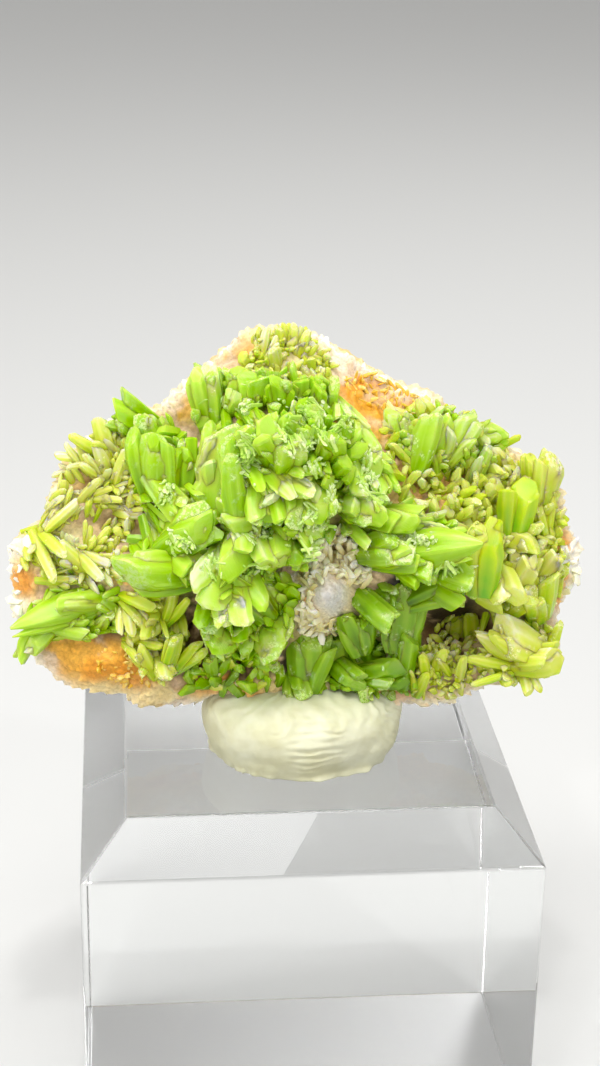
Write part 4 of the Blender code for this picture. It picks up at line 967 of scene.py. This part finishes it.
def crumbArrays(crumbs, large, draw):
    # tiny splinters where the eye meets the large crystals at each place of a round patch; a slow noise turns
    # them, so that neighbours lie nearly parallel
    points, faces = joined(large)[:2]
    surface = BVHTree.FromPolygons(points.tolist(), np.concatenate([f[:, :4] for f in faces]).tolist())
    spots = []
    for x, z, reachX, reachZ, count in crumbs:
        spotX, spotZ = x + draw.normal(0, 0.5 * reachX, count), z + draw.normal(0, 0.5 * reachZ, count)
        spots.append(np.stack([spotX, np.zeros(count), spotZ], axis=-1))
    hits = [surface.ray_cast(Vector(eye), Vector(way)) for way in np.concatenate(spots) - eye]
    hits = [(place, facing) for place, facing, _, _ in hits if place is not None]
    place, facing = np.array([h[0] for h in hits]), np.array([h[1] for h in hits])
    count = len(place)
    drift = np.stack([softNoise(place, 1.3, seed) for seed in (61, 62, 63)], axis=-1)
    along = unit(0.25 * facing + 1.6 * drift + draw.normal(0, 0.22, (count, 3)))
    across = unit(np.cross(along, draw.normal(0, 1, (count, 3))))
    length = draw.uniform(*splinter["length"], count)
    width = draw.uniform(*splinter["width"], count)
    growth = growthOf(draw.uniform(0.0, 1.0, count), np.ones(count))
    foot = place - along * (0.6 * length)[:, None] - facing * splinter["sunk"]
    shape, thick = smallHabits["grain"], width * splinter["flat"]
    return [prismArrays(shape, 6, foot, along, across, length, width, thick, growth, draw)]


def growClusters():
    # every cluster as one piece: its large crystals, what fills its ground, and its further fields
    made, largeOnes = {}, []
    for order, (name, plan) in enumerate(clusters.items()):
        draw = np.random.default_rng(100 + order)
        tone = plan["fill"][5]
        parts = largeCrystals(plan["large"], tone - seat["deeper"], draw)
        largeOnes += parts
        guides = np.array([row[:4] for rows in plan["large"].values() for row in rows], float)
        parts.append(smallCrystals((*plan["fill"], *followed, plan["ground"]), draw, guides))
        parts += [smallCrystals(field, draw) for field in plan.get("fields", [])]
        made[name] = parts
    for name, plan in extras.items():
        draw = np.random.default_rng(plan["seed"])
        if "crumbs" in plan:
            made[name] = crumbArrays(plan["crumbs"], largeOnes, draw)
        else:
            made[name] = [smallCrystals(field, draw) for field in plan["fields"]]
    for name, parts in made.items():
        points, faces, growth, strokes = joined(parts)
        plan = pieces[name]
        made[name] = meshPiece(name, points, faces, plan.get("node"), growth=growth,
                               strokes=strokes, sharpPast=24)
        print("grew", name, len(points), "points")
    return made


# The putty: pressed flat, wrinkled in front, squeezed out at the foot
tack = {
    "middle": (0.2, -2.2),
    "reach": (7.4, 6.8),
    "squared": 2.15,  # 2 is a true oval
    "base": 25.04,
    "height": 4.9,
    "around": 420,
    "rings": 120,
    "lumps": 0.22,
    "dents": 0.1,
    "wrinkle": 0.075,
    "wrinkleStep": 0.52,
    "ridges": 0.03,
    "folds": 0.1,
    "foot": 0.42,
    "torn": 0.28,
    "pits": 0.018,
}


def dressTack():
    # a squared-off oval carried upwards, its size swelling a little and then closing; on it large soft lumps,
    # level wrinkles in front, slanting fine ridges on the right, upright folds under the stone, and a thin
    # uneven foot squeezed out on the block
    turn = np.linspace(0, 2 * math.pi, tack["around"], endpoint=False)[None, :]
    share = np.linspace(0, 1, tack["rings"])[:, None]
    cosine, sine, squared = np.cos(turn), np.sin(turn), tack["squared"]
    square = 1 / (np.abs(cosine) ** squared + np.abs(sine) ** squared) ** (1 / squared)
    height = tack["height"] * np.sin(0.5 * math.pi * share) ** 1.15
    swelling = 0.82 + 0.2 * np.sin(0.5 * math.pi * np.minimum(share * 1.6, 1))
    size = np.cos(0.5 * math.pi * share) ** 0.3 * swelling
    x = tack["middle"][0] + tack["reach"][0] * size * square * cosine
    y = tack["middle"][1] + tack["reach"][1] * size * square * sine
    points = np.stack([x, y, tack["base"] + height * np.ones_like(turn)], axis=-1)
    way = unit(np.stack(np.broadcast_arrays(cosine, sine, 0.8 * share), axis=-1))
    lift = tack["lumps"] * layeredNoise(points, 3.2, 3, 41)
    wave = layeredNoise(points * np.array((1.0, 1.0, 2.2)), 2.0, 2, 42)
    front = np.exp(-(((turn - 1.52 * math.pi) / 0.24) ** 4)) * np.exp(-(((share - 0.5) / 0.3) ** 4))
    wrinkles = np.sin(2 * math.pi * (height / tack["wrinkleStep"] + 0.45 * wave))
    lift += tack["wrinkle"] * front * wrinkles * (0.75 + wave)
    lift += tack["dents"] * softNoise(points * np.array((0.5, 0.5, 1.6)), 1.5, 47)
    right = np.exp(-(((turn - 1.86 * math.pi) / 0.42) ** 2)) * np.exp(-(((share - 0.4) / 0.3) ** 2))
    slanted = height * 1.4 + turn * 9.0
    lift += tack["ridges"] * right * np.sin(2 * math.pi * (slanted + 0.35 * wave))
    folded = np.clip((share - 0.42) * 4, 0, 1)
    lift += tack["folds"] * folded * np.sin(turn * 30 + 5.0 * wave) * (0.5 + 0.5 * softNoise(points, 1.6, 43))
    edge = np.stack([cosine * 9, sine * 9, 0 * turn], axis=-1)
    ragged = layeredNoise(edge, 1.9, 2, 44)
    torn = np.exp(-(((turn - 1.24 * math.pi) / 0.28) ** 4))
    steps = np.round(2.5 * layeredNoise(edge, 0.7, 2, 45)) / 2.5
    lip = np.exp(-((share / 0.05) ** 2))
    lift += lip * (tack["foot"] * (0.5 + 0.7 * ragged) + tack["torn"] * torn * steps)
    lift += tack["pits"] * layeredNoise(points, 0.5, 2, 46)
    points = points + way * lift[..., None]
    points[..., 2] = np.maximum(points[..., 2], tack["base"])
    points[0, :, 2] = tack["base"]
    faces = closedFaces(tack["rings"], tack["around"])
    return meshPiece("tackPutty", withEnds(points), faces, "mineral_tack")


block = {"width": 30.0, "height": 25.0, "bevel": 3.0, "edge": 0.14, "crispPast": 20}


def dressBlock():
    # the block's twelve corners with its top edges cut at 45 degrees, every edge then eased by a fine bevel
    half, top = block["width"] / 2, block["height"]
    levels = [(half, 0.0), (half, top - block["bevel"]), (half - block["bevel"], top)]
    corners = np.array([(-1, -1), (1, -1), (1, 1), (-1, 1)], float)
    points = np.concatenate([np.column_stack([corners * reach, np.full(4, z)]) for reach, z in levels])
    faces = [ringFaces(3, 4), np.array([[3, 2, 1, 0]]), np.array([[8, 9, 10, 11]])]
    crisp = block["crispPast"]
    piece = meshPiece("acrylicBlock", points, faces, "acrylic_block", sharpPast=crisp)
    eased = piece.modifiers.new("easedEdges", "BEVEL")
    eased.width = block["edge"] * mm
    eased.segments = 3
    eased.limit_method = "ANGLE"
    eased.angle_limit = math.radians(crisp)
    return piece


def newMaterial(name):
    material = bpy.data.materials.new(name)
    material.use_nodes = True
    tree = material.node_tree
    return material, tree, tree.nodes["Principled BSDF"]


def setSockets(shader, values):
    for name, value in values.items():
        shader.inputs[name].default_value = value


def addNode(tree, kind, **values):
    node = tree.nodes.new(kind)
    for key, value in values.items():
        setattr(node, key, value)
    return node


def link(tree, source, target):
    tree.links.new(source, target)


def noiseNode(tree, vector, size, detail=3.0, rough=0.55):
    # Blender's noise with features about this many millimetres across, on object coordinates
    node = addNode(tree, "ShaderNodeTexNoise")
    node.inputs["Scale"].default_value = 1.0 / (size * mm)
    node.inputs["Detail"].default_value = detail
    node.inputs["Roughness"].default_value = rough
    link(tree, vector, node.inputs["Vector"])
    return node.outputs["Fac"]


def rampNode(tree, source, stops):
    node = addNode(tree, "ShaderNodeValToRGB")
    ramp = node.color_ramp
    while len(ramp.elements) < len(stops):
        ramp.elements.new(0.5)
    for element, (place, colour) in zip(ramp.elements, stops):
        element.position = place
        element.color = (*colour, 1.0)
    link(tree, source, node.inputs["Fac"])
    return node.outputs["Color"]


def mathNode(tree, operation, *values, clamp=False):
    node = addNode(tree, "ShaderNodeMath", operation=operation, use_clamp=clamp)
    for place, value in enumerate(values):
        if isinstance(value, (int, float)):
            node.inputs[place].default_value = value
        else:
            link(tree, value, node.inputs[place])
    return node.outputs[0]


def fade(tree, source, times, plus):
    # a number times the source plus a number, kept between 0 and 1
    return mathNode(tree, "MULTIPLY_ADD", source, times, plus, clamp=True)


def mixNode(tree, factor, first, second, mode="MIX"):
    node = addNode(tree, "ShaderNodeMix", data_type="RGBA", blend_type=mode)
    for place, value in ((0, factor), (6, first), (7, second)):
        if isinstance(value, (int, float)):
            node.inputs[place].default_value = value
        elif isinstance(value, (tuple, np.ndarray)):
            node.inputs[place].default_value = (*value, 1.0)
        else:
            link(tree, value, node.inputs[place])
    return node.outputs[2]


def bumpNode(tree, height, strength, distance, normal=None):
    node = addNode(tree, "ShaderNodeBump")
    node.inputs["Strength"].default_value = strength
    node.inputs["Distance"].default_value = distance * mm
    link(tree, height, node.inputs["Height"])
    if normal:
        link(tree, normal, node.inputs["Normal"])
    return node.outputs["Normal"]


# Crystal colours from the root's deep one over body and pale to the frosted end, and how they take light
crystalFinishes = {
    "limeCrystal": {
        "colours": [(126, 172, 0), (176, 222, 0), (212, 244, 92), (240, 250, 200)],
        "through": 0.28, "under": 0.8, "rough": 0.04, "striped": 0.6,
    },
    "paleCrystal": {
        "colours": [(138, 208, 26), (214, 234, 34), (238, 246, 118), (255, 255, 214)],
        "through": 0.28, "under": 0.8, "rough": 0.04, "striped": 0.5,
    },
    "frostCrystal": {
        "colours": [(180, 230, 70), (206, 240, 108), (226, 246, 156), (246, 252, 214)],
        "through": 0.2, "under": 0.0, "rough": 0.14, "striped": 0.1,
    },
    "amberCrystal": {
        "colours": [(236, 160, 24), (246, 194, 66), (252, 216, 120), (252, 232, 170)],
        "through": 0.1, "under": 0.5, "rough": 0.2, "striped": 0.3,
    },
    "creamCrystal": {
        "colours": [(222, 186, 96), (250, 236, 170), (255, 250, 216), (255, 254, 244)],
        "through": 0.15, "under": 0.3, "rough": 0.12, "striped": 0.3,
    },
    # the cavity's crystals: the lime crystal's colours darkened, painted shade under the overhanging dome
    "shadedLimeCrystal": {
        "colours": [(84, 126, 0), (142, 192, 4), (184, 220, 60), (226, 242, 164)],
        "through": 0.3, "under": 0.75, "rough": 0.08, "striped": 0.3,
    },
}
crystalGrain = {
    "byTone": 0.6,  # what picks the colour, from deep to frost
    "byPlace": 0.36,
    "byCloud": 0.4,
    "deeper": 0.25,
    "cloud": 1.6,  # millimetres
    "frostPatch": 0.9,
    "fine": 0.28,
    "lineStretch": (3.2, 0.22, 1.0),
    "lineScale": 1.6,
    "frosted": 0.75,
}


def crystalMaterial(name, finish):
    # tone, place along the crystal and noise together pick the colour; some ends are frosted; fine lines run
    # along it
    material, tree, shader = newMaterial(name)
    deep, body, pale, frosty = (tint(*colour) for colour in finish["colours"])
    growth = addNode(tree, "ShaderNodeAttribute", attribute_name="growth")
    split = addNode(tree, "ShaderNodeSeparateColor")
    link(tree, growth.outputs["Color"], split.inputs["Color"])
    tone, place, frost = split.outputs
    spot = addNode(tree, "ShaderNodeTexCoord").outputs["Object"]
    strokes = addNode(tree, "ShaderNodeUVMap", uv_map="strokes")
    stretch = addNode(tree, "ShaderNodeMapping")
    stretch.inputs["Scale"].default_value = crystalGrain["lineStretch"]
    link(tree, strokes.outputs["UV"], stretch.inputs["Vector"])
    lines = addNode(tree, "ShaderNodeTexNoise")
    lines.inputs["Scale"].default_value = crystalGrain["lineScale"]
    lines.inputs["Detail"].default_value = 4.0
    link(tree, stretch.outputs["Vector"], lines.inputs["Vector"])
    cloud = noiseNode(tree, spot, crystalGrain["cloud"])
    fine = noiseNode(tree, spot, crystalGrain["fine"], rough=0.65)
    mixed = mathNode(tree, "MULTIPLY", tone, crystalGrain["byTone"])
    mixed = mathNode(tree, "MULTIPLY_ADD", place, crystalGrain["byPlace"], mixed)
    mixed = mathNode(tree, "MULTIPLY_ADD", cloud, crystalGrain["byCloud"], mixed)
    mixed = mathNode(tree, "SUBTRACT", mixed, crystalGrain["deeper"], clamp=True)
    colour = rampNode(tree, mixed, [(0.0, deep), (0.4, body), (0.74, pale), (1.0, frosty)])
    stripe = fade(tree, lines.outputs["Fac"], 5.0, -2.5)
    stripe = mathNode(tree, "MULTIPLY", stripe, fade(tree, frost, 3.0, -0.6))
    colour = mixNode(tree, mathNode(tree, "MULTIPLY", stripe, finish["striped"]), colour, pale)
    ends = fade(tree, place, 5.0, -4.1)
    patch = fade(tree, noiseNode(tree, spot, crystalGrain["frostPatch"], detail=2.0), 9.0, -5.1)
    where = mathNode(tree, "MAXIMUM", ends, patch)
    frosted = mathNode(tree, "MULTIPLY", where, fade(tree, frost, 2.0, -0.7))
    frosted = mathNode(tree, "MULTIPLY", frosted, fade(tree, fine, 6.0, -2.5))
    whitened = mathNode(tree, "MULTIPLY", frosted, crystalGrain["frosted"])
    colour = mixNode(tree, whitened, colour, frosty)
    link(tree, colour, shader.inputs["Base Color"])
    rough = mathNode(tree, "MULTIPLY_ADD", frosted, 0.35, finish["rough"])
    rough = mathNode(tree, "MULTIPLY_ADD", fine, 0.08, rough)
    link(tree, rough, shader.inputs["Roughness"])
    bump = bumpNode(tree, lines.outputs["Fac"], strength=0.4, distance=0.07)
    link(tree, bumpNode(tree, fine, strength=0.3, distance=0.05, normal=bump), shader.inputs["Normal"])
    setSockets(shader, {
        "IOR": 1.5,
        "Specular IOR Level": 0.34,
        "Transmission Weight": finish["through"],
        "Subsurface Weight": finish["under"],
        "Subsurface Radius": (0.7, 1.0, 0.12),
        "Subsurface Scale": 0.3 * mm,
    })
    return material


def rockMaterial():
    material, tree, shader = newMaterial("sugaryMatrix")
    growth = addNode(tree, "ShaderNodeAttribute", attribute_name="growth")
    spot = addNode(tree, "ShaderNodeTexCoord").outputs["Object"]
    fine = noiseNode(tree, spot, size=0.22, rough=0.6)
    middle = noiseNode(tree, spot, size=0.9, detail=4.0, rough=0.6)
    plain = (1.0, 1.0, 1.0)
    speck = rampNode(tree, fine, [(0.32, (0.76, 0.7, 0.58)), (0.5, plain), (0.7, (1.25, 1.22, 1.15))])
    colour = mixNode(tree, 0.75, growth.outputs["Color"], speck, "MULTIPLY")
    stain = rampNode(tree, middle, [(0.45, plain), (0.7, (0.95, 0.82, 0.56))])
    colour = mixNode(tree, 0.3, colour, stain, "MULTIPLY")
    link(tree, colour, shader.inputs["Base Color"])
    link(tree, mathNode(tree, "MULTIPLY_ADD", fine, -0.4, 0.78), shader.inputs["Roughness"])
    bump = bumpNode(tree, fine, strength=0.45, distance=0.08)
    link(tree, bumpNode(tree, middle, strength=0.3, distance=0.2, normal=bump), shader.inputs["Normal"])
    setSockets(shader, {
        "IOR": 1.5,
        "Subsurface Weight": 0.2,
        "Subsurface Radius": (1.0, 0.85, 0.6),
        "Subsurface Scale": 0.5 * mm,
    })
    return material


def tackMaterial():
    material, tree, shader = newMaterial("ivoryPutty")
    spot = addNode(tree, "ShaderNodeTexCoord").outputs["Object"]
    middle = noiseNode(tree, spot, size=2.4)
    fine = noiseNode(tree, spot, size=0.18)
    colour = rampNode(tree, middle, [(0.35, tint(208, 205, 168)), (0.62, tint(224, 223, 194))])
    link(tree, colour, shader.inputs["Base Color"])
    link(tree, bumpNode(tree, fine, strength=0.2, distance=0.04), shader.inputs["Normal"])
    setSockets(shader, {
        "Roughness": 0.62,
        "Subsurface Weight": 0.25,
        "Subsurface Radius": (1.0, 0.9, 0.6),
        "Subsurface Scale": 0.8 * mm,
    })
    return material


def acrylicMaterial():
    material, tree, shader = newMaterial("clearAcrylic")
    spot = addNode(tree, "ShaderNodeTexCoord").outputs["Object"]
    scratch = noiseNode(tree, spot, size=0.5, detail=5.0, rough=0.7)
    rough = rampNode(tree, scratch, [(0.6, (0.0, 0.0, 0.0)), (0.8, (0.03, 0.03, 0.03))])
    height = addNode(tree, "ShaderNodeSeparateXYZ")
    link(tree, spot, height.inputs["Vector"])
    under = mathNode(tree, "LESS_THAN", height.outputs["Z"], 0.02 * mm)  # the sawn underside is matt
    rough = mixNode(tree, under, rough, (0.4, 0.4, 0.4))
    link(tree, rough, shader.inputs["Roughness"])
    wave = noiseNode(tree, spot, size=9.0, detail=1.0)
    link(tree, bumpNode(tree, wave, strength=0.012, distance=0.4), shader.inputs["Normal"])
    setSockets(shader, {"Base Color": (0.975, 0.985, 0.985, 1.0), "IOR": 1.49, "Transmission Weight": 1.0})
    return material


stage = {
    "floor": tint(196, 196, 194),
    "glow": 0.14,  # stands for the light that comes back from a lit room
    "width": 6000.0,
    "near": -3000.0,
    "far": 900.0,
    "cove": 300.0,
    "wall": 1500.0,
    "drop": -0.1,
}


def makeStage():
    # a pale floor that curves up into a wall far behind: a flat run, a quarter circle, then upright
    arc = np.linspace(0, 0.5 * math.pi, 25)
    flat = np.linspace(stage["near"], stage["far"], 8)[:-1]
    back, top = stage["far"] + stage["cove"], stage["cove"] + stage["wall"]
    y = np.concatenate([flat, stage["far"] + stage["cove"] * np.sin(arc), [back]])
    z = stage["drop"] + np.concatenate([0 * flat, stage["cove"] * (1 - np.cos(arc)), [top]])
    x = np.array([-0.5, 0.5]) * stage["width"]
    points = np.stack(np.broadcast_arrays(x[None, :], y[:, None], z[:, None]), axis=-1).reshape(-1, 3)
    start = np.arange(len(y) - 1) * 2
    faces = np.stack([start, start + 1, start + 3, start + 2], axis=-1)
    mesh = bpy.data.meshes.new("studioFloor")
    mesh.from_pydata((points * mm).tolist(), [], faces.tolist())
    mesh.polygons.foreach_set("use_smooth", np.ones(len(faces), bool))
    floor = addObject("studioFloor", mesh)
    material, tree, shader = newMaterial("palePaper")
    setSockets(shader, {
        "Base Color": (*stage["floor"], 1.0),
        "Roughness": 0.9,
        "Emission Color": (1.0, 1.0, 1.0, 1.0),
        "Emission Strength": stage["glow"],
    })
    mesh.materials.append(material)


lamps = {  # place, what it points at, width, height in millimetres, watts
    "topSoftbox": ((-60.0, -90.0, 330.0), (0, 0, 40), 260.0, 200.0, 0.78),
    "frontFill": ((150.0, -330.0, 130.0), (0, 0, 36), 220.0, 160.0, 0.16),
    "leftStrip": ((-300.0, -60.0, 120.0), (0, 0, 40), 60.0, 240.0, 0.35),
    "backRim": ((170.0, 190.0, 310.0), (0, 0, 45), 200.0, 90.0, 0.45),
    "leftGlints": ((-90.0, -230.0, 190.0), (0, 0, 42), 12.0, 12.0, 0.1),
    "rightGlints": ((130.0, -160.0, 210.0), (0, 0, 42), 12.0, 12.0, 0.1),
    "highGlints": ((-10.0, -70.0, 290.0), (0, 0, 42), 12.0, 12.0, 0.12),
}
air = {"Color": (1.0, 0.99, 0.97, 1.0), "Strength": 0.42}


def makeLights():
    for name, (place, aim, width, height, watts) in lamps.items():
        data = bpy.data.lights.new(name, "AREA")
        data.shape = "RECTANGLE"
        data.size, data.size_y = width * mm, height * mm
        data.energy = watts
        lamp = addObject(name, data)
        lamp.location = Vector(place) * mm
        lamp.rotation_euler = (Vector(aim) - Vector(place)).to_track_quat("-Z", "Y").to_euler()
    world = bpy.data.worlds.new("studioAir")
    world.use_nodes = True
    setSockets(world.node_tree.nodes["Background"], air)
    bpy.context.scene.world = world


def makeCamera():
    data = bpy.data.cameras.new("bench")
    data.lens = sight["lens"]
    data.sensor_width = sight["sensor"]
    data.clip_start, data.clip_end = 0.005, 20.0
    camera = addObject("bench", data)
    roll = math.radians(sight["roll"])
    right = rightWay * math.cos(roll) + upWay * math.sin(roll)
    up = np.cross(towards, right)
    rows = [[right[i], up[i], towards[i], sight["eye"][i] * mm] for i in range(3)]
    camera.matrix_world = Matrix(rows + [[0, 0, 0, 1]])
    bpy.context.scene.camera = camera


def paint(piece, material):
    piece.data.materials.clear()
    piece.data.materials.append(material)


paint(dressRock(), rockMaterial())
print("rock done")
paint(dressTack(), tackMaterial())
paint(dressBlock(), acrylicMaterial())
print("tack and block done")
finishes = {name: crystalMaterial(name, finish) for name, finish in crystalFinishes.items()}
finishOfSlot = {"lime_crystal": "limeCrystal", "pale_crystal": "paleCrystal", "deep_crystal": "shadedLimeCrystal"}
for name, piece in growClusters().items():
    plan = pieces[name]
    paint(piece, finishes[plan.get("finish") or finishOfSlot[plan["slot"]]])
makeStage()
makeLights()
makeCamera()
bpy.context.scene.view_settings.view_transform = "Standard"
